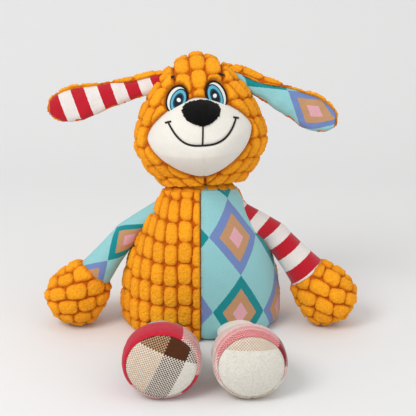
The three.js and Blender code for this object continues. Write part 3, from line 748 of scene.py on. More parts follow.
wall = evenly(moved_in(head_wall, PLUSH_INSET), PLUSH_STEP)
wall[:, 1] = np.maximum.accumulate(wall[:, 1])
dome = wall[wall[:, 1] > CHEEK_RISE]


def dome_rise(x):
    """Rise of the head's outline at a distance from its middle plane."""
    return np.interp(-abs(x), -dome[:, 0], dome[:, 1])


crown = dome_rise(GUSSET_HALF_WIDTH)
side_wall = np.vstack([wall[wall[:, 1] < crown], [GUSSET_HALF_WIDTH, crown]])
radius, rise = side_wall[:, 0:1], side_wall[:, 1:2]
columns = int(CHEEK_RADIUS * CHEEK_TURN / PLUSH_STEP)
front_x = np.minimum(GUSSET_HALF_WIDTH * smooth(rise, *CHIN_SEAM) + PANEL_GAP, radius)
back_x = np.minimum(GUSSET_HALF_WIDTH + PANEL_GAP, radius)
angle = mix(
    np.arcsin(front_x / radius), math.pi - np.arcsin(back_x / radius),
    np.linspace(0, 1, columns)[None, :],
)
middle = np.argmin(np.abs(angle - math.pi / 2), axis=1)[:, None]
along = run_along(side_wall)[:, None]
for seed, (side, sign) in enumerate(SIDES.items()):
    grid = on_head(sign * radius * np.sin(angle), -radius * np.cos(angle), rise)
    across = run_along(grid, axis=1)
    rims = np.minimum(from_ends(across), along)
    across = across - np.take_along_axis(across, middle, axis=1)
    head_panel(f"head_side_{side}", grid, across, along, rims, seed + 6)

strips = []
for x in np.linspace(-GUSSET_HALF_WIDTH, GUSSET_HALF_WIDTH, int(2 * GUSSET_HALF_WIDTH / PLUSH_STEP)):
    top = dome_rise(x)
    up = np.vstack([wall[wall[:, 1] < top - 0.01], [abs(x), top]])
    reach = np.sqrt(np.maximum(up[:, 0] ** 2 - x**2, 0))
    rear = on_head(x, reach, up[:, 1])
    face = on_head(x, -reach, up[:, 1])[up[:, 1] > CHIN_SEAM[0]]
    strips.append(spaced(np.vstack([face, rear[-2::-1]]), GUSSET_ROWS))
grid = np.stack(strips, axis=1)
along = run_along(grid, axis=0)
rims = np.minimum(GUSSET_HALF_WIDTH - np.abs(grid[..., 0]), along[-1:] - along)
head_panel("head_gusset", grid, grid[..., 0] + GUSSET_COLUMNS * PLUSH_COLUMN, along, rims, 8)


# Muzzle
# One panel of short white pile with a dart under the chin, sewn into the front of the head and
# stuffed until it stands out as a round snout. The mouth thread pulls a shallow groove into it.
MUZZLE_BULGE = 18
MUZZLE_TUCK = 2.5  # the seam lies this far inside the head's padded surface
MUZZLE_CROWN = 2.6
MUZZLE_ROUND = 0.6
MUZZLE_CLOTH = 1.2
MUZZLE_STEP = 0.9
MUZZLE_COLUMNS = 240
MUZZLE_WHITES = ((225, 220, 210), (235, 231, 222))
MOUTH_REACH = (25.5, 29.5)  # from the middle to the corner at each side
MOUTH_POWER = 3.1
MOUTH_CORNER_RISE = 67.5
MOUTH_LOW_RISE = 51
MOUTH_SHIFT = -2.2
MOUTH_GROOVE = (1.1, 1.8)  # depth and half width
MOUTH_END = (2, 8)  # the groove runs on past the corner, and fades over this length
CHIN_DART = (1.3, 1.6)  # depth and half width
DART_RISE = (47, 32)  # the dart deepens between these rises
DART_X = -1


def mouth_line(x):
    """Rise of the smile at a distance from the middle of the face."""
    out = np.abs(x - MOUTH_SHIFT) / np.where(x < MOUTH_SHIFT, *MOUTH_REACH)
    return mix(MOUTH_LOW_RISE, MOUTH_CORNER_RISE, out**MOUTH_POWER)


def furrow(away, depth, half_width):
    """Depth of a furrow at a distance from its line."""
    return depth * np.exp(-(away / half_width) ** 2)


def muzzle_front(x, z):
    """How far forward the muzzle's surface lies at a place on the face."""
    share = np.minimum(muzzle_share(x, z), 1)
    swell = (1 - share**MUZZLE_CROWN) ** MUZZLE_ROUND
    to_end = MOUTH_REACH[1] + MOUTH_END[0] - np.abs(x - MOUTH_SHIFT)
    groove = furrow(mouth_line(x) - z, *MOUTH_GROOVE) * smooth(to_end, 0, MOUTH_END[1])
    dart = furrow(x - DART_X, *CHIN_DART) * smooth(-z, -DART_RISE[0], -DART_RISE[1])
    front = head_front(x, z) + MUZZLE_TUCK - (MUZZLE_BULGE + MUZZLE_TUCK) * swell
    return front + groove + dart


def patch(outline, middle, step):
    """Places of a piece of cloth on the face, ring by ring from its middle to its outline."""
    spread = outline - np.array(middle)
    rings = int(np.linalg.norm(spread, axis=1).max() / step)
    return np.linspace(0, 1, rings)[:, None, None] * spread + np.array(middle)


def lay(places, front, raised=0):
    """Places on the face as points of the toy, raised above the surface that front tells."""
    x, z = np.moveaxis(places, -1, 0)
    return in_toy(stacked(x, front(x, z) - raised, z))


turn = np.linspace(0, 2 * math.pi, MUZZLE_COLUMNS)
lobe = np.abs(np.array([np.cos(turn), np.sin(turn)])) ** (2 / MUZZLE_POWER)
across = MUZZLE_HALF_WIDTH * np.sign(np.cos(turn)) * lobe[0]
up = np.where(np.sin(turn) > 0, MUZZLE_UP, -MUZZLE_DOWN) * lobe[1]
outline = stacked(*turned(across, up, -MUZZLE_TILT)) + [MUZZLE_SHIFT, MUZZLE_MIDDLE]
outline[-1] = outline[0]
places = patch(outline, (MUZZLE_SHIFT, MUZZLE_MIDDLE), MUZZLE_STEP)
muzzle = sew("muzzle_panel", lay(places, muzzle_front), places, MUZZLE_CLOTH, head_core, wrapped=True)
white_pile, tree, shader = new_finish("white short pile", 0.95, sheen=0.3)
napped(tree, shader, mottled(tree, 60, *MUZZLE_WHITES), scale=1500, depth=0.0006, tuft_shade=0.1)
stuffed(muzzle, white_pile, 9, lump=1.2)
nods(muzzle)
stands_for("muzzle_panel")


# Nose
# A padded patch of short black pile, an upside-down rounded triangle sewn to the top of the muzzle.
NOSE_HALF_WIDTH = 16
NOSE_TOE = 6
NOSE_BRIDGE = 9
NOSE_FOOT = 65.5
NOSE_WIDEST = 75
NOSE_TOP = 83
NOSE_SIDE = (1, 5)  # inside and below the widest place, where the outline turns to the foot
NOSE_SHOULDER = 3  # below the top, where it turns to the bridge
NOSE_SHIFT = -0.6
NOSE_THICKNESS = 4.5
NOSE_SUNK = 0.6
NOSE_CROWN = 3  # how flat its middle is
NOSE_CLOTH = 1
NOSE_STEP = 0.6
NOSE_EDGE_STEP = 0.5
NOSE_PILE = 0.35  # the pile makes the edge ragged by about this much
NOSE_BLACKS = ((5, 5, 5), (13, 13, 12))
half = np.vstack([
    bezier(
        (0, NOSE_FOOT), (NOSE_TOE, NOSE_FOOT),
        (NOSE_HALF_WIDTH - NOSE_SIDE[0], NOSE_WIDEST - NOSE_SIDE[1]), (NOSE_HALF_WIDTH, NOSE_WIDEST),
    ),
    bezier(
        (NOSE_HALF_WIDTH, NOSE_WIDEST), (NOSE_HALF_WIDTH, NOSE_TOP - NOSE_SHOULDER),
        (NOSE_BRIDGE, NOSE_TOP), (0, NOSE_TOP),
    )[1:],
])
outline = evenly(np.vstack([half, half[-2::-1] * np.array([-1, 1])]), NOSE_EDGE_STEP)
pile = np.random.default_rng(10).normal(0, NOSE_PILE / NOSE_HALF_WIDTH, (len(outline), 1))
outline = mix(outline, np.array([0, NOSE_WIDEST]), pile)
outline[:, 0] += NOSE_SHIFT
outline[-1] = outline[0]
places = patch(outline, (NOSE_SHIFT, NOSE_WIDEST), NOSE_STEP)
share = np.linspace(0, 1, len(places))[:, None]
puff = NOSE_THICKNESS * (1 - share**NOSE_CROWN) ** 0.5 - NOSE_SUNK
nose = sew("nose_patch", lay(places, muzzle_front, puff), places, NOSE_CLOTH, head_core, wrapped=True)
black_pile, tree, shader = new_finish("black short pile", 0.9, sheen=0.05, gloss=0.08)
napped(tree, shader, mottled(tree, 300, *NOSE_BLACKS), scale=1500, depth=0.0006, tuft_shade=0.3)
stuffed(nose, black_pile, 10, lump=1.2, scale=160)
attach(nose, "head")
stands_for("nose_patch")


# Eyes
# Ovals of satin thread on the gusset: a black edge, white, then dark and bright blue round the pupil.
EYE_RAISED = 1.6
EYE_SUNK = 1
EYE_CROWN = 6
EYE_CLOTH = 0.8
EYE_STEP = 0.5
EYE_COLUMNS = 120
EYE_STRAND_SHADE = (0.2, 0.82)  # painted shade between the strands: how far it darkens the colour where the thread's bump is low, above this share of the colour
EYE_BLACK = (20, 20, 22)
EYE_RINGS = (  # middle, reach across and up as shares of the oval, and colour
    ((0, 0), (0.84, 0.87), (236, 236, 232)),
    ((0.16, 0), (0.74, 0.84), (14, 32, 54)),
    ((0.16, 0), (0.65, 0.75), (92, 178, 200)),
    ((0.16, 0), (0.45, 0.54), (18, 46, 74)),
    ((0.16, 0), (0.4, 0.49), (38, 84, 108)),
    ((0.16, 0), (0.35, 0.44), (12, 22, 36)),
    ((0.16, 0.06), (0.2, 0.13), (240, 240, 238)),
)
eye_thread, tree, shader = new_finish("eye thread", 0.55)
cloth = on_cloth(tree)
placed = split(tree, cloth)
colour = paint(EYE_BLACK)
for middle, reach, dye in EYE_RINGS:
    steps = []
    for axis in (0, 1):
        away = calc(tree, "SUBTRACT", placed[axis], middle[axis])
        steps.append(calc(tree, "POWER", calc(tree, "DIVIDE", away, reach[axis]), 2))
    within = calc(tree, "LESS_THAN", calc(tree, "ADD", *steps), 1)
    colour = blend_colour(tree, within, colour, paint(dye))
thread = add_node(tree, "ShaderNodeTexWave", {
    "Vector": cloth, "Scale": 9.0, "Distortion": 1.0, "Detail": 1.0,
}, output=1, bands_direction="Y")
# Painted shade: the colour darkens between the strands, where the thread's bump is low
shade = calc(tree, "MULTIPLY_ADD", thread, *EYE_STRAND_SHADE)
plug(tree, scaled(tree, colour, shade), shader.inputs["Base Color"])
bump = add_node(tree, "ShaderNodeBump", {"Height": thread, "Distance": 0.0003, "Strength": 0.5})
plug(tree, bump, shader.inputs["Normal"])
turn = np.linspace(0, 2 * math.pi, EYE_COLUMNS)
for seed, (side, sign) in enumerate(SIDES.items()):
    middle = np.array(EYE_MIDDLE[side])
    oval = turned(EYE_HALF[0] * np.cos(turn), EYE_HALF[1] * np.sin(turn), -EYE_SLANT[side])
    places = patch(middle + stacked(*oval), middle, EYE_STEP)
    share = np.linspace(0, 1, len(places))[:, None]
    raised = EYE_RAISED * (1 - share**EYE_CROWN) ** 0.5 - EYE_SUNK
    across, up = turned(*np.moveaxis(places - middle, -1, 0), EYE_SLANT[side])
    eye = sew(
        f"eye_{side}", lay(places, head_front, raised), stacked(-sign * across, up), EYE_CLOTH,
        head_core, wrapped=True, unit=EYE_HALF,
    )
    stuffed(eye, eye_thread, 11 + seed, lump=0.2)
    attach(eye, "head")
    stands_for(f"eye_{side}")


# Brows and mouth
# Lines of black satin stitch: short strands of thread laid side by side across each line.
STRAND = 0.42
STRANDS_CLOSE = 1.3  # strands in the width of one
STRAND_LEAN = 0.25
MOUTH_THREAD = 1.7
MOUTH_RAISED = 0.3
LIP_THREAD = 0.85  # of the mouth's thread
LIP_UNDER = 1  # the lip line runs on under the nose
TICK_THREAD = 0.8
TICK_LEAN = (2.2, 0.8)  # half a tick across and down, at each corner of the mouth
BROW_HALF_LENGTH = 2.7
BROW_WIDTH = 2.0
BROW_RAISED = 1.2
BROW_SPREAD = 20.5
BROW_SHIFT = -1.5
BROW_RISE = 99.5
BROW_SLANT = math.radians(18)
BROW_END = 0.05  # least share of its square width, at its ends
THREAD_BLACKS = ((14, 14, 14), (38, 37, 36))
tree, given = new_tree("satin_stitch", "Line", ("Strand radius",))
satin_stitch = tree
across = noted(tree, "across")
bead = add_node(tree, "GeometryNodeMeshUVSphere", {"Segments": 6, "Rings": 5, "Radius": 1.0})
strand = add_node(tree, "GeometryNodeSetShadeSmooth", {"Geometry": bead})
aligned = add_node(tree, "FunctionNodeAlignRotationToVector", {"Vector": across}, axis="X")
length = add_node(tree, "ShaderNodeVectorMath", {0: across}, output=1, operation="LENGTH")
scale = joined(tree, length, given["Strand radius"], given["Strand radius"])
points = add_node(tree, "GeometryNodeMeshToPoints", {"Mesh": given["Line"]})
end_tree(tree, given, add_node(tree, "GeometryNodeInstanceOnPoints", {
    "Points": points, "Instance": strand, "Rotation": aligned, "Scale": scale,
}))
black_thread, tree, shader = new_finish("black thread", 0.5)
plug(tree, mottled(tree, 700, *THREAD_BLACKS), shader.inputs["Base Color"])


def stitch(node, lines, front, raised):
    """Satin stitch along lines drawn on the face. A line is a path and half a width along it."""
    centres, reaches = [], []
    for path, width in lines:
        run = run_along(path)
        count = int(run[-1] / STRAND * STRANDS_CLOSE)
        middle = spaced(path, count)
        width = np.broadcast_to(width, run.shape)
        wide = np.interp(np.linspace(0, run[-1], count), run, width)[:, None]
        along = np.gradient(middle, axis=0)
        along /= np.linalg.norm(along, axis=1, keepdims=True)
        side = np.column_stack([along[:, 1], -along[:, 0]]) + STRAND_LEAN * along
        start, end = (lay(middle + way * side * wide, front, raised) for way in (-1, 1))
        centres.append((start + end) / 2)
        reaches.append((end - start) / 2)
    mesh = bpy.data.meshes.new(node)
    mesh.from_pydata((np.concatenate(centres) * MM).tolist(), [], [])
    note(mesh, "across", np.concatenate(reaches) * MM)
    piece = add_object(f"{node}_thread", mesh)
    run_tree(piece, satin_stitch, black_thread, strand_radius=STRAND * MM)
    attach(piece, "head")
    stands_for(node)


x = MOUTH_SHIFT + np.linspace(-MOUTH_REACH[0], MOUTH_REACH[1], 200)
half_thread = MOUTH_THREAD / 2
lip = np.linspace((MOUTH_SHIFT, MOUTH_LOW_RISE), (NOSE_SHIFT, NOSE_FOOT + LIP_UNDER), 60)
lines = [(stacked(x, mouth_line(x)), half_thread), (lip, half_thread * LIP_THREAD)]
for sign, reach in zip((-1, 1), MOUTH_REACH):
    corner = np.array([MOUTH_SHIFT + sign * reach, MOUTH_CORNER_RISE])
    lean = np.array([TICK_LEAN[0], -sign * TICK_LEAN[1]])
    lines.append((np.linspace(corner - lean, corner + lean, 30), half_thread * TICK_THREAD))
stitch("mouth_stitch", lines, muzzle_front, MOUTH_RAISED)
for side, sign in SIDES.items():
    reach = np.linspace(-BROW_HALF_LENGTH, BROW_HALF_LENGTH, 60)
    line = np.column_stack([
        BROW_SHIFT + sign * BROW_SPREAD + reach * math.cos(BROW_SLANT),
        BROW_RISE - sign * reach * math.sin(BROW_SLANT),
    ])
    width = BROW_WIDTH / 2 * np.sqrt(np.maximum(1 - (reach / BROW_HALF_LENGTH) ** 2, BROW_END))
    stitch(f"brow_{side}", [(line, width)], head_front, BROW_RAISED)


# Ears
# A leaf of two layers: orange plush behind, rolled forward over the upper edge and the tip, and a
# printed lining in front. The root is sewn into the head.
EAR_LENGTH = 93
EAR_ROOT_HALF_WIDTH = 8.5
EAR_HALF_WIDTH = 15
EAR_WIDEST = 66
EAR_CURL = 9
EAR_RISE = 94
EAR_SEAT = 2
EAR_SUNK = 14
EAR_SUNK_HALF_WIDTH = 4
EAR_DROOP = {"right": math.radians(13), "left": math.radians(30)}
EAR_TWIST = {"right": math.radians(25), "left": math.radians(10)}
EAR_BACK = 4.2  # half thickness of the plush layer
EAR_FRONT = 2.6  # half thickness of the lining's side
EAR_FLAT = (-2, 12)  # the layers thin out as the half width falls in this range
EAR_HEM = math.radians(168)  # where the plush ends under the lower edge
EAR_LIP = {  # where the plush ends in front, at the root and towards the tip
    "right": (math.radians(-52), math.radians(-22)), "left": (math.radians(-75), math.radians(-22)),
}
EAR_LIP_RUN = (12, 50)  # between these distances from the root it goes from one to the other
EAR_TIP = (88, 93)  # and here it closes round the tip
EAR_RIM = 2.5  # at its rim the plush is as full as this far from a seam
EAR_CELL = 1.7
EAR_COLUMNS = 80
EAR_TIP_GAP = 0.05  # radians left open round the tip
CELL_FADE = 0.3  # how fast cells rise from the end of a piece
LINING_END = 1.5  # short of the tip
LINING_COLUMNS = 34
LINING_UNDER = (0.5, 0.6)  # its lower edge lies outside the ear, its upper edge under the plush
LINING_SWELL = (0.6, 1.6)  # at its edges, and more in its middle
LINING_ROUND = 0.6
LINING_SUNK = 1.2
STRIPE_RED = (184, 18, 38)
STRIPE_WHITE = (226, 218, 214)
STRIPE_PITCH = 22
STRIPE_START = 2  # from the tip
STRIPE_LEAN = 0.08
STRIPE_RAGGED = (400, 0.04)  # scale and depth of the ragged edge of a stripe
EAR_DIAMOND = (18.4, 29)
EAR_DIAMOND_PLACE = 70  # middle of the diamond, from the root
EAR_PRINT_BOW = (7, 20)  # the print rises this much over this length towards the tip
EAR_PRINT_TURN = math.radians(12)
EAR_PRINT_RAISED = 1.5


def aimed(direction, lean):
    """Three directions: across, leaning and along, as a piece that points somewhere has them."""
    along = direction / np.linalg.norm(direction)
    across = np.cross(lean, along)
    across /= np.linalg.norm(across)
    return across, np.cross(along, across), along


def round_end(radius, start, end):
    """Outline of a rounded end, from its widest place to its tip."""
    quarter = np.linspace(0, math.pi / 2, 60)
    outline = np.column_stack([radius * np.cos(quarter), start + (end - start) * np.sin(quarter)])
    outline[-1, 0] = 0
    return outline


striped_jersey, tree, shader = new_finish("striped short pile", 0.9, sheen=0.25)
cloth = split(tree, on_cloth(tree))
ragged = uneven(tree, on_object(tree), *STRIPE_RAGGED)
band = calc(tree, "FRACT", calc(tree, "ADD", cloth[1], ragged))
white = calc(tree, "GREATER_THAN", band, 0.5)
colour = blend_colour(tree, white, paint(STRIPE_RED), paint(STRIPE_WHITE))
napped(tree, shader, colour, scale=1300, depth=0.0006, tuft_shade=0.16)

ear_side = np.vstack([
    [[EAR_SUNK_HALF_WIDTH, -EAR_SUNK]],
    bezier(
        (EAR_ROOT_HALF_WIDTH, 0), (EAR_ROOT_HALF_WIDTH, EAR_WIDEST / 2), (EAR_HALF_WIDTH, EAR_WIDEST),
    ),
    round_end(EAR_HALF_WIDTH, EAR_WIDEST, EAR_LENGTH)[1:],
])
for seed, (side, sign) in enumerate(SIDES.items()):
    droop = EAR_DROOP[side]
    root = np.array([sign * (head_radius(EAR_RISE) + EAR_SEAT), 0, EAR_RISE])
    outwards = np.array([sign * math.cos(droop), 0, -math.sin(droop)])
    twist = -sign * EAR_TWIST[side]
    behind = np.array([0, 1, 0])
    lean = behind * math.cos(twist) + np.cross(outwards, behind) * math.sin(twist)
    across, leaning, along = aimed(outwards, lean)
    top = -sign * across

    def ear_points(up, back, out):
        curl = EAR_CURL * (np.maximum(out, 0) / EAR_LENGTH) ** 2
        return in_toy(
            root + up[..., None] * top + (back - curl)[..., None] * leaning + out[..., None] * along
        )

    rows = evenly(ear_side, PLUSH_STEP)
    half, out = rows[:, 0:1], rows[:, 1:2]
    lip = mix(*EAR_LIP[side], smooth(out, *EAR_LIP_RUN))
    lip = mix(lip, EAR_HEM - 2 * math.pi + EAR_TIP_GAP, smooth(out, *EAR_TIP))
    angle = mix(EAR_HEM, lip, np.linspace(0, 1, EAR_COLUMNS)[None, :])
    deep = np.where(np.sin(angle) > 0, EAR_BACK, EAR_FRONT) * smooth(half, *EAR_FLAT)
    grid = ear_points(half * np.cos(angle), deep * np.sin(angle), out)
    around = run_along(grid, axis=1)
    edge = np.minimum(from_ends(around) + EAR_RIM, CELL_FADE * (EAR_LENGTH - out + 1))
    outer = sew(
        f"ear_{side}_outer", grid, stacked(around, run_along(rows)[:, None]), PLUSH_CLOTH,
        in_toy(root + along * EAR_WIDEST), edge,
    )
    plush(outer, 14 + seed, cell=EAR_CELL)

    rows = evenly(ear_side[ear_side[:, 1] < EAR_LENGTH - LINING_END], PRINT_STEP)
    half, out = rows[:, 0:1], rows[:, 1:2]
    share = np.linspace(0, 1, LINING_COLUMNS)[None, :]
    low = -half - LINING_UNDER[0]
    high = half * np.cos(mix(*EAR_LIP[side], smooth(out, *EAR_LIP_RUN))) + LINING_UNDER[1]
    high = np.maximum(mix(high, low + 1, smooth(out, *EAR_TIP)), low + 1)
    up = mix(low, high, share)
    swell = LINING_SWELL[0] + LINING_SWELL[1] * np.sin(math.pi * share) ** LINING_ROUND
    deep = EAR_FRONT * np.sqrt(np.maximum(1 - (up / np.maximum(half, 1)) ** 2, 0))
    grid = ear_points(up, -deep * smooth(half, *EAR_FLAT) - swell + LINING_SUNK, out)
    if side == "right":
        flat = stacked(up, EAR_LENGTH - STRIPE_START - out + STRIPE_LEAN * up)
        unit, finish, slot = (STRIPE_PITCH, STRIPE_PITCH), striped_jersey, "striped_jersey"
    else:
        from_middle = out - EAR_DIAMOND_PLACE
        bow = EAR_PRINT_BOW[0] * (np.maximum(from_middle, 0) / EAR_PRINT_BOW[1]) ** 2
        flat = stacked(*turned(up - EAR_PRINT_RAISED - bow, from_middle, EAR_PRINT_TURN))
        unit, finish, slot = EAR_DIAMOND, argyle_print, "argyle_print"
    lining = sew(
        f"ear_{side}_lining", grid, flat, PRINT_CLOTH, in_toy(root + (along + leaning) * EAR_WIDEST),
        np.minimum(up - low, high - up), unit=unit,
    )
    stuffed(lining, finish, 16 + seed, lump=4.5, seam=0.8, width=4, scale=60)
    for layer in (outer, lining):
        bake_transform(layer)
    stands_for(f"ear_{side}_outer")
    stands_for(f"ear_{side}_lining")


# Arms
# A sleeve of printed cloth, sewn flat to the flank, that swells to a round wrist, and a mitten of
# orange plush at its end. The mitten rests on the floor.
ARM_ROOT_RADIUS = 11
ARM_ELBOW = 42
WRIST_RADIUS = 16.5
SLEEVE_LENGTH = 70
HAND_RADIUS = 23
HAND_START = 76
PAW_RADIUS = 25.5
PAW_HALF_THICKNESS = 22
PAW_WIDEST = 27
PAW_LENGTH = 53
PAW_RISE = 0.4  # of its lowest point above the floor
SHOULDER_Z = 99
SHOULDER_SEAT = 4
SHOULDER_SEAM = (84, 116)  # lowest and highest point of the seam on the flank
SHOULDER_FORWARD = {"right": (2, 2), "left": (20, 9)}  # of the flank, low and high on the seam
SHOULDER_HALF_THICKNESS = 10
SHOULDER_SUNK = 2
ARM_FORWARD = math.radians(13)
ARM_ROUND = 26  # the sleeve is round this far from the shoulder
ARM_BEND_RISE = math.radians(37)  # how far their direction is raised from that of the arm
ARM_BOW = {"right": 2, "left": 0}  # the sleeve rises this far above a straight line
ARM_FILL_INSET = 7
ARM_FILL_DEPTH = 0.85
SLEEVE_FULL = {"right": 0.93, "left": 1.04}  # how far the filling spreads each sleeve
SLEEVE_TUCK = (3, 3)  # the sleeve's end turns in and runs on into the paw
SLEEVE_COLUMNS = 100
PAW_COLUMNS = 200
PAW_CELL = (13.5, 17.5)
PAW_WANDER = 7
PAW_BRICK = 0.5  # part of a row between one column of cells and the next
PAW_SEAM = 0.8
PAW_CLOTH_TURN = {"right": math.radians(8), "left": math.radians(-18)}
PAW_CLOTH_APART = 200  # between the cloth of its front and of its back
PAW_MOUTH = (0.4, 2)  # the paw's mouth is wider than the wrist and reaches over the sleeve
PAW_MOUTH_END = 2  # the mouth ends where the paw is wider than the wrist by this
ARM_DIAMOND = (18, 26)
DIAMOND_PLACE = (20.5, 44)  # middle of the sleeve's diamond, forward of the top and up from the wrist
SLEEVE_STRIPE = 24
WRIST_EDGE = 2
paw_middle = SLEEVE_LENGTH + PAW_WIDEST
sleeve_wall = np.vstack([
    bezier((ARM_ROOT_RADIUS, 0), (ARM_ROOT_RADIUS, ARM_ELBOW), (WRIST_RADIUS, SLEEVE_LENGTH)),
    [[WRIST_RADIUS - SLEEVE_TUCK[0], SLEEVE_LENGTH + SLEEVE_TUCK[1]]],
])
paw_wall = np.vstack([
    bezier((WRIST_RADIUS, SLEEVE_LENGTH), (HAND_RADIUS, HAND_START), (PAW_RADIUS, paw_middle)),
    round_end(PAW_RADIUS, paw_middle, SLEEVE_LENGTH + PAW_LENGTH)[1:],
])
shoulder_x = body_radius(SHOULDER_Z) + SHOULDER_SEAT
arm_drop = math.asin((SHOULDER_Z - PAW_LENGTH + PAW_WIDEST - PAW_RISE) / paw_middle)
limbs = []  # what the filling of each limb needs


def all_round(columns):
    """Angles round a limb, from its lower side and back to it."""
    return np.linspace(-math.pi, math.pi, columns)[None, :]


def limb_points(pivot, top, leaning, along, angle, rows, flatten=1):
    """Points round a limb at radii and distances from its pivot. An angle of 0 is its upper side."""
    up = rows[:, 0:1] * np.cos(angle)
    back = rows[:, 0:1] * np.sin(angle) * flatten
    return (
        pivot + up[..., None] * top + back[..., None] * leaning + rows[:, 1][:, None, None] * along
    )


def limb_cloth(rows, angle):
    """Lengths round a limb and along it, and the distance from its ends and its seam."""
    run = run_along(rows)[:, None]
    edge = np.minimum(rows[:, 0:1] * (math.pi - np.abs(angle)), np.minimum(run, run[-1] - run))
    return rows[:, 0:1] * angle, run, edge


for seed, (side, sign) in enumerate(SIDES.items()):
    pivot = np.array([sign * shoulder_x, 0, SHOULDER_Z])
    across, leaning, along = aimed(np.array([
        sign * math.cos(arm_drop) * math.cos(ARM_FORWARD),
        -math.cos(arm_drop) * math.sin(ARM_FORWARD), -math.sin(arm_drop),
    ]), np.array([0, 1, 0]))
    top = -sign * across

    rows = evenly(sleeve_wall * [SLEEVE_FULL[side], 1], PRINT_STEP)
    angle = all_round(SLEEVE_COLUMNS)
    grid = limb_points(pivot, top, leaning, along, angle, rows)
    height = mix(*SHOULDER_SEAM, (1 + np.cos(angle[0])) / 2)
    forward = mix(*SHOULDER_FORWARD[side], (1 + np.cos(angle[0])) / 2)
    depth = SHOULDER_HALF_THICKNESS * np.sin(angle[0]) - forward
    girth = np.sqrt(body_radius(height) ** 2 - (depth / body_oval(height)) ** 2) - SHOULDER_SUNK
    sewn = 1 - smooth(rows[:, 1], 0, ARM_ROUND)
    grid = grid + sewn[:, None, None] * (stacked(sign * girth, depth, height) - grid[0])
    grid[..., 2] += ARM_BOW[side] * np.sin(np.clip(rows[:, 1:2] / SLEEVE_LENGTH, 0, 1) * math.pi)
    around, run, edge = limb_cloth(rows, angle)
    run = run_along(grid, axis=0)
    from_wrist = run[-1:] - run - math.hypot(*SLEEVE_TUCK)
    if side == "right":
        flat = stacked(
            around + DIAMOND_PLACE[0], DIAMOND_PLACE[1] - from_wrist + 2 * ARM_DIAMOND[1],
        )
        unit, finish, slot = ARM_DIAMOND, argyle_print, "argyle_print"
    else:
        flat = stacked(around, from_wrist - WRIST_EDGE)
        unit, finish, slot = (SLEEVE_STRIPE, SLEEVE_STRIPE), striped_jersey, "striped_jersey"
    sleeve = sew(
        f"arm_{side}_sleeve", grid, flat, PRINT_CLOTH, pivot + along * SLEEVE_LENGTH / 2, edge,
        wrapped=True, unit=unit,
    )
    stuffed(sleeve, finish, 18 + seed, lump=1.4, seam=0.8, width=5)
    raised = along * math.cos(ARM_BEND_RISE) + top * math.sin(ARM_BEND_RISE)
    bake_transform(sleeve)
    stands_for(f"arm_{side}_sleeve")

    wrist = WRIST_RADIUS * SLEEVE_FULL[side]
    mouth = np.array([[wrist + PAW_MOUTH[0], SLEEVE_LENGTH - PAW_MOUTH[1]]])
    inner = moved_in(paw_wall, PLUSH_INSET)
    wider = inner[inner[:, 0] > WRIST_RADIUS + PAW_MOUTH_END]
    rows = evenly(np.vstack([mouth, wider, inner[-1:]]), PLUSH_STEP)
    rows[-1, 0] = 0
    flatten = mix(1, PAW_HALF_THICKNESS / PAW_RADIUS, smooth(rows[:, 1:2], ARM_ELBOW, paw_middle))
    grid = limb_points(pivot, top, leaning, along, all_round(PAW_COLUMNS), rows, flatten)
    core = pivot + along * paw_middle
    length, height = (grid - core) @ along, (grid - core) @ top
    spread = np.hypot(length, height)
    facing = np.arctan2(spread / PAW_RADIUS, -((grid - core) @ leaning) / PAW_HALF_THICKNESS)
    bend = PAW_RADIUS * np.minimum(facing, math.pi - facing) / np.maximum(spread, 1e-6)
    rise, aside = ((length * along[axis] + height * top[axis]) * bend for axis in (2, 0))
    flat = stacked(*turned(rise, aside, -PAW_CLOTH_TURN[side])) + PAW_CLOTH_APART * stacked(
        1, np.sign(facing - math.pi / 2),
    )
    edge = np.minimum(
        CELL_FADE * (run_along(rows)[:, None] + 1), PAW_RADIUS * np.abs(facing - math.pi / 2) + PAW_SEAM,
    )
    paw = sew(f"arm_{side}_paw", grid, flat, PLUSH_CLOTH, core, edge, wrapped=True)
    plush(paw, 20 + seed, column=PAW_CELL[0], row=PAW_CELL[1], brick=PAW_BRICK, wander=PAW_WANDER)
    filled = moved_in(np.vstack([
        sleeve_wall[sleeve_wall[:, 1] > ARM_ROUND][:-1], paw_wall[1:],
    ]), ARM_FILL_INSET)
    limbs.append((f"arm_{side}", pivot, top, leaning * ARM_FILL_DEPTH, along, filled))
    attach(paw, f"arm_{side}")
    stands_for(f"arm_{side}_paw")


# Legs and feet
# A short sleeve from the hip, then a shoe of homespun plaid gathered at the ankle, closed by a round
# sole of heavier plaid that faces forward. The weave is coarse enough to see each thread.
LEG_ROOT_RADIUS = 11.5
LEG_FLAT = 1.5  # the sleeve is wider than high by this
LEG_ROUND = 45  # and gets round from here on
LEG_SAG = 10.5  # the sleeve hangs this far below its hip pivot
LEG_KNEE = 32
ANKLE_RADIUS = 17
LEG_LENGTH = 60
LEG_SUNK = 9
FOOT_RADIUS = 29.5
FOOT_RISE = 0.4  # of its lowest point above the floor
HEEL_RADIUS = 25
HEEL_START = 4  # beyond the ankle
FOOT_WIDEST = 24
FOOT_LENGTH = 41
SOLE_RADIUS = 26.5
SOLE_DOME = 7
HIP_SPREAD = 31
HIP_Z = 24
HIP_SEAT = 5
LEG_SPLAY = {"right": math.radians(-1.5), "left": math.radians(4)}
LEG_PRINT = (18, 22)  # shifts the print round and along the sleeve
LEG_HANG = 10  # the sleeve rises from here to the ankle
LEG_LOW = 0.76  # and lies this flat before it
LEG_FILLED = 52  # from here on the leg is filled
LEG_FILL_INSET = 5
SHOE_FULL = {"right": (1, 0.92), "left": (0.945, 0.9)}  # how far filling spreads and raises a shoe
LEG_COLUMNS = 110
SHOE_COLUMNS = 320
SOLE_COLUMNS = 400
WEAVE_STEP = 0.55
THREAD = 1.15
THREAD_RELIEF = 0.35
THREAD_ROUND = 0.7
THREAD_SHADES = (0.14, 0.9)  # how far the threads differ, above this share of the colour
SOLE_STEP = 0.42
SOLE_TURN = {"right": math.radians(-24), "left": math.radians(-1)}
BIAS = {"right": 0, "left": 0.004}  # how fast the cloth bends away round the shoe
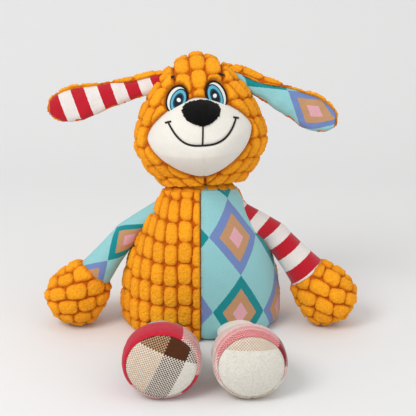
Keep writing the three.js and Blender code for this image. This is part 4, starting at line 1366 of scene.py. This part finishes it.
CRIMSON = (196, 30, 54)
ROSE = (224, 120, 128)
BLUSH = (228, 176, 174)
OFF_WHITE = (226, 221, 210)
OAT = (193, 157, 122)
BROWN = (80, 40, 14)
INK = (36, 30, 30)
foot_middle = LEG_LENGTH + FOOT_WIDEST
sole_start = LEG_LENGTH + FOOT_LENGTH
leg_wall = np.vstack([
    [[LEG_ROOT_RADIUS, -LEG_SUNK]],
    bezier((LEG_ROOT_RADIUS, 0), (LEG_ROOT_RADIUS, LEG_KNEE), (ANKLE_RADIUS, LEG_LENGTH)),
])
leg_tuck = [[ANKLE_RADIUS - SLEEVE_TUCK[0], LEG_LENGTH + SLEEVE_TUCK[1]]]
foot_wall = np.vstack([
    bezier(
        (ANKLE_RADIUS, LEG_LENGTH), (HEEL_RADIUS, LEG_LENGTH + HEEL_START), (FOOT_RADIUS, foot_middle),
    ),
    bezier((FOOT_RADIUS, foot_middle), (FOOT_RADIUS, sole_start), (SOLE_RADIUS, sole_start))[1:],
])
sole_wall = bezier(
    (SOLE_RADIUS, sole_start), (SOLE_RADIUS / 2, sole_start + SOLE_DOME), (0, sole_start + SOLE_DOME),
)
hip_y = -body_oval(HIP_Z) * math.sqrt(body_radius(HIP_Z) ** 2 - HIP_SPREAD**2) - HIP_SEAT
leg_rise = math.asin((FOOT_RADIUS + FOOT_RISE - HIP_Z) / foot_middle)


def woven(places):
    """Height of a plain weave at places on the cloth: each thread rises over the next but one."""
    count = places / THREAD
    over = np.floor(count).sum(axis=-1) % 2
    middle = 2 * (count - np.floor(count)) - 1
    bow = np.sqrt(np.maximum(1 - middle**2, 0)) ** THREAD_ROUND
    hump = np.cos(middle * math.pi / 2)
    return THREAD_RELIEF * np.where(over > 0, bow[..., 0] * hump[..., 1], bow[..., 1] * hump[..., 0])


def plaid(name, warp, weft):
    """Cloth of two sets of threads. Each set is a list of colours and where each starts, in threads."""
    finish, tree, shader = new_finish(name, 0.9, sheen=0.15)
    cloth = split(tree, on_cloth(tree))
    dyes, counts = [], []
    for axis, bands in enumerate((warp, weft)):
        thread = calc(tree, "FLOOR", cloth[axis])
        colour = paint(bands[0][1])
        for start, dye in bands[1:]:
            beyond = calc(tree, "GREATER_THAN", thread, start - 0.5)
            colour = blend_colour(tree, beyond, colour, paint(dye))
        dyes.append(colour)
        counts.append(thread)
    over = calc(tree, "FLOORED_MODULO", calc(tree, "ADD", *counts), 2)
    colour = blend_colour(tree, over, dyes[1], dyes[0])
    shade = calc(tree, "MULTIPLY_ADD", by_chance(tree, *counts), *THREAD_SHADES)
    napped(tree, shader, scaled(tree, colour, shade), scale=1800, depth=0.0004, tuft_shade=0.2)
    return finish


SHOES = {
    "right": plaid(
        "homespun plaid right",
        ((0, OFF_WHITE), (-56, CRIMSON), (15, OFF_WHITE), (48, CRIMSON), (66, OFF_WHITE)),
        ((0, CRIMSON),),
    ),
    "left": plaid(
        "homespun plaid left",
        ((0, OAT), (-56, OFF_WHITE), (-30, BLUSH), (23, INK), (41, OFF_WHITE), (62, OAT)),
        ((0, OFF_WHITE), (26, ROSE), (30, BLUSH), (32, CRIMSON)),
    ),
}
SOLES = {
    "right": plaid(
        "sole plaid right", ((0, OAT), (-3, BROWN), (12, OFF_WHITE)), ((0, OFF_WHITE), (11, BROWN)),
    ),
    "left": plaid("sole plaid left", ((0, OFF_WHITE),), ((0, OFF_WHITE), (14, OAT))),
}
for seed, (side, sign) in enumerate(SIDES.items()):
    pivot = np.array([sign * HIP_SPREAD, hip_y, HIP_Z])
    splay = LEG_SPLAY[side]
    across, leaning, along = aimed(np.array([
        sign * math.sin(splay) * math.cos(leg_rise), -math.cos(splay) * math.cos(leg_rise),
        math.sin(leg_rise),
    ]), np.array([0, 0, 1]))
    core = pivot + along * foot_middle
    spread, raised = SHOE_FULL[side]

    def leg_points(rows, angle):
        full = smooth(rows[:, 1:2], LEG_HANG, LEG_LENGTH)
        wide = mix(LEG_FLAT, 1, smooth(rows[:, 1:2], LEG_ROUND, foot_middle)) * mix(1, spread, full)
        points = limb_points(pivot, leaning, across, along, angle, rows, wide)
        points[..., 2] -= LEG_SAG * (1 - full)
        points[..., 2] *= mix(LEG_LOW, raised, full)
        return points

    rows = evenly(np.vstack([leg_wall, leg_tuck]), PRINT_STEP)
    angle = all_round(LEG_COLUMNS)
    around, run, edge = limb_cloth(rows, angle)
    sleeve = sew(
        f"leg_{side}_sleeve", leg_points(rows, angle), stacked(around, run) + LEG_PRINT, PRINT_CLOTH,
        pivot + along * LEG_LENGTH / 2, edge, wrapped=True, unit=ARM_DIAMOND,
    )
    finish, slot = (argyle_print, "argyle_print") if side == "right" else (white_pile, "white_pile")
    stuffed(sleeve, finish, 22 + seed, lump=1.4, seam=0.8, width=5)
    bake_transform(sleeve)
    stands_for(f"leg_{side}_sleeve")

    rows = evenly(foot_wall, WEAVE_STEP)
    angle = all_round(SHOE_COLUMNS)
    _, run, edge = limb_cloth(rows, angle)
    around = FOOT_RADIUS * angle
    flat = stacked(around, run - BIAS[side] * around**2)
    upper = sew(
        f"foot_{side}_upper", leg_points(rows, angle), flat, PRINT_CLOTH, core, edge, wrapped=True,
        relief=woven(flat), unit=(THREAD, THREAD),
    )
    stuffed(upper, SHOES[side], 24 + seed, lump=1.2, seam=1.0, width=4)

    rows = evenly(sole_wall, SOLE_STEP)
    rows[-1, 0] = 0
    angle = all_round(SOLE_COLUMNS)
    spin = angle + SOLE_TURN[side]
    flat = stacked(rows[:, 0:1] * np.sin(spin), rows[:, 0:1] * np.cos(spin))
    sole = sew(
        f"foot_{side}_sole", leg_points(rows, angle), flat, PRINT_CLOTH, core,
        SOLE_RADIUS - rows[:, 0:1], wrapped=True, relief=woven(flat), unit=(THREAD, THREAD),
    )
    stuffed(sole, SOLES[side], 26 + seed, lump=0.8, seam=1.0, width=3)
    lowered = [part * [1, 1, raised] for part in (pivot, leaning, across * spread, along)]
    filled = moved_in(np.vstack([
        leg_wall[leg_wall[:, 1] > LEG_FILLED], foot_wall[1:], sole_wall[1:],
    ]), LEG_FILL_INSET)
    limbs.append((f"leg_{side}", *lowered, filled))
    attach(upper, f"leg_{side}")
    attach(sole, f"leg_{side}")
    stands_for(f"foot_{side}_upper")
    stands_for(f"foot_{side}_sole")


# Squeaker
# A small moulded bellows between a base with a reed tube and a cap, loose in a pocket of filling.
MOULDED_WHITES = ((232, 232, 226), (242, 242, 238))
BELLOWS_WHITES = ((214, 220, 222), (232, 236, 236))
squeaker_plastic, tree, shader = new_finish("moulded plastic", 0.35)
plug(tree, mottled(tree, 200, *MOULDED_WHITES), shader.inputs["Base Color"])
bellows_plastic, tree, shader = new_finish("soft bellows plastic", 0.5)
plug(tree, mottled(tree, 260, *BELLOWS_WHITES), shader.inputs["Base Color"])
for part in ("base", "reed_holder", "reed", "cap"):
    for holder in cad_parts[f"squeaker_{part}"].material_slots:
        holder.material = squeaker_plastic


def merged_copy(node, name):
    """A CAD solid as a piece of its own, with its loose triangles joined."""
    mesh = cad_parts[node].data.copy()
    mesh.materials.clear()
    join_points(mesh, 1e-6)
    return add_object(f"{node}_{name}", mesh)


low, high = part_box("squeaker_bellows")
bellows = merged_copy("squeaker_bellows", "pleats")
bellows.data.materials.append(bellows_plastic)
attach(bellows, "torso")
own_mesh(bellows)
stands_for("squeaker_bellows")


# Filling
# Loose polyester fibre in each stuffed part: lumps and hollows under the cover. The neck's ball is
# faced with the cover's own plush, which closes the neck inside the covers of the body and the head.
FIBRE_STEP = 2.6
FIBRE_INSET = 7
FIBRE_SKIN = 1.5
FIBRE_ROOM = 3.5  # left free between the filling of the body and its cover
FIBRE_LUMP = 3
FIBRE_SCALE = 60
FIBRE_WHITES = ((224, 222, 216), (244, 243, 240))
FELT_SIZE = 2
HEAD_FILL_COLUMNS = 90
LIMB_FILL_COLUMNS = 44
SNOUT_SHARE = 0.9  # of the muzzle, which the head's filling fills
NECK_HOLLOW = 44.5  # the head is filled outside this radius, so that it turns on the neck
COLLAR_INSET = 4.5
COLLAR_DEPTH = 4  # the collar starts this far below the middle of the neck
COLLAR_CELL = 1.5
COLLAR_ROWS = 40
COLLAR_COLUMNS = 190
COLLAR_EDGE = 2
tree, given = new_tree("fibre_lumps", "Fill", ("Lump depth", "Lump scale", "Room"))
fibre_lumps = tree
lump = noise(tree, add_node(tree, "GeometryNodeInputPosition"), given["Lump scale"])
hollow = calc(tree, "MULTIPLY", lump, calc(tree, "MULTIPLY", given["Lump depth"], -1))
hollow = calc(tree, "SUBTRACT", hollow, given["Room"])
inwards = scaled(tree, add_node(tree, "GeometryNodeInputNormal"), hollow)
pressed = add_node(tree, "GeometryNodeSetPosition", {"Geometry": given["Fill"], "Offset": inwards})
end_tree(tree, given, add_node(tree, "GeometryNodeSetShadeSmooth", {"Geometry": pressed}))
fibre_fill, tree, shader = new_finish("polyester fibre", 1.0, sheen=0.4)
napped(tree, shader, mottled(tree, 120, *FIBRE_WHITES), scale=600, depth=0.002, tuft_shade=0.2)

for node in ("body_stuffing", "closing_stuffing"):
    fill = merged_copy(node, "fibre")
    remesh = fill.modifiers.new("felt", "REMESH")
    remesh.mode = "VOXEL"
    remesh.voxel_size = FELT_SIZE * MM
    smoother = fill.modifiers.new("soften", "SMOOTH")
    smoother.iterations = 4
    run_tree(
        fill, fibre_lumps, fibre_fill, lump_depth=FIBRE_LUMP * MM, lump_scale=FIBRE_SCALE,
        room=FIBRE_ROOM * MM,
    )
    fill.modifiers.clear()
    stands_for(node)
    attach(fill, "torso")

turn = all_round(HEAD_FILL_COLUMNS)
inner = moved_in(head_wall, FIBRE_INSET)
inner = inner[np.hypot(inner[:, 0], inner[:, 1] + NECK_PIVOT_DEPTH) > NECK_HOLLOW]
reach = np.linspace(0, inner[0, 0], 30)[:-1]
hollow = np.column_stack([reach, np.sqrt(NECK_HOLLOW**2 - reach**2) - NECK_PIVOT_DEPTH])
rows = evenly(np.vstack([hollow, inner, inner[-1:] * [0, 1]]), FIBRE_STEP)
rows[-1, 0] = 0
radius, rise = rows[:, 0:1], rows[:, 1:2]
grid = on_head(radius * np.sin(turn), -radius * np.cos(turn), rise)
x, y, z = np.moveaxis(grid, -1, 0)
snout = muzzle_front(x, z) + FIBRE_INSET
grid[..., 1] = np.where((y < 0) & (muzzle_share(x, z) < SNOUT_SHARE), np.minimum(y, snout), y)
fill = sew(
    "head_stuffing", in_toy(grid), stacked(radius * turn, rise), FIBRE_SKIN, head_core, wrapped=True,
)
stuffed(fill, fibre_fill, 39, lump=FIBRE_LUMP)
nods(fill)
stands_for("head_stuffing")
turn = all_round(LIMB_FILL_COLUMNS)
for limb, pivot, top, leaning, along, wall in limbs:
    rows = evenly(np.vstack([wall[:1] * [0, 1], wall, wall[-1:] * [0, 1]]), FIBRE_STEP)
    rows[-1, 0] = 0
    fill = sew(
        f"{limb}_stuffing", limb_points(pivot, top, leaning, along, turn, rows),
        stacked(rows[:, 0:1] * turn, rows[:, 1:2]), FIBRE_SKIN, pivot + along * wall[:, 1].mean(),
        wrapped=True,
    )
    stuffed(fill, fibre_fill, 40, lump=FIBRE_LUMP)
    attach(fill, limb)
    stands_for(f"{limb}_stuffing")

neck_ball = math.hypot(NECK_RADIUS / math.cos(NECK_TILT), NECK_PIVOT_DEPTH) - COLLAR_INSET
polar = np.linspace(math.acos((NECK_PIVOT_DEPTH - COLLAR_DEPTH) / neck_ball), 0, COLLAR_ROWS)
turn = np.linspace(0, 2 * math.pi, COLLAR_COLUMNS)[None, :]
across, leaning, along = aimed(neck_axis, np.array([0, 1, 0]))
rows = neck_ball * np.column_stack([np.sin(polar), np.cos(polar)])
rows[-1, 0] = 0
run = run_along(rows)[:, None]
collar = sew(
    "neck_collar", limb_points(neck_pivot, leaning, across, along, turn, rows),
    stacked(NECK_RADIUS * turn, run), PLUSH_CLOTH, neck_pivot, run + COLLAR_EDGE, wrapped=True,
)
plush(collar, 30, cell=COLLAR_CELL)
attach(collar, "neck")
stands_for("neck_stuffing")


# Stage, light and camera
# A pale sweep of paper that runs from the floor up into a wall, a large soft lamp from the upper left
# and a weak one from the right. The camera looks down a little from the front. Lengths are in metres.
PAPER = (229, 229, 229)
SWEEP_FRONT = -4.0
SWEEP_START = 0.5
SWEEP_RADIUS = 0.6
SWEEP_TOP = 5.0
SWEEP_HALF_WIDTH = 4.0
WORLD_LIGHT = 0.84
LAMP_AIM = Vector((0, 0, 0.12))
LAMPS = (  # name, place, size and power
    ("key", Vector((-0.7, -0.8, 1.1)), 0.7, 9), ("fill", Vector((0.9, -0.7, 0.6)), 0.9, 1.2),
)
CAMERA_PLACE = (0.0059, -0.750, 0.330)
CAMERA_TILT = math.radians(73.2)
CAMERA_LENS = 77.1
bend = np.linspace(0, math.pi / 2, 24)
profile = np.vstack([
    [[SWEEP_FRONT, 0]],
    np.column_stack([
        SWEEP_START + SWEEP_RADIUS * np.sin(bend), SWEEP_RADIUS * (1 - np.cos(bend)),
    ]),
    [[SWEEP_START + SWEEP_RADIUS, SWEEP_TOP]],
])
mesh = bpy.data.meshes.new("paper sweep")
mesh.from_pydata(
    [(x, y, z) for y, z in profile for x in (-SWEEP_HALF_WIDTH, SWEEP_HALF_WIDTH)], [],
    [(2 * i, 2 * i + 1, 2 * i + 3, 2 * i + 2) for i in range(len(profile) - 1)],
)
mesh.shade_smooth()
paper, tree, shader = new_finish("white paper", 0.95)
plug(tree, paint(PAPER), shader.inputs["Base Color"])
mesh.materials.append(paper)
add_object("paper_sweep", mesh)
world = bpy.data.worlds.new("studio")
bpy.context.scene.world = world
world.use_nodes = True
world.node_tree.nodes["Background"].inputs[0].default_value = (1, 1, 1, 1)
world.node_tree.nodes["Background"].inputs[1].default_value = WORLD_LIGHT
for name, place, size, power in LAMPS:
    light = bpy.data.lights.new(name, "AREA")
    light.shape = "DISK"
    light.size = size
    light.energy = power
    lamp = add_object(name, light)
    lamp.location = place
    lamp.rotation_euler = (LAMP_AIM - place).to_track_quat("-Z", "Y").to_euler()
camera = add_object("camera", bpy.data.cameras.new("camera"))
camera.location = CAMERA_PLACE
camera.rotation_euler = (CAMERA_TILT, 0, 0)
camera.data.lens = CAMERA_LENS
camera.data.sensor_width = 36
bpy.context.scene.camera = camera
bpy.context.scene.view_settings.view_transform = "Standard"
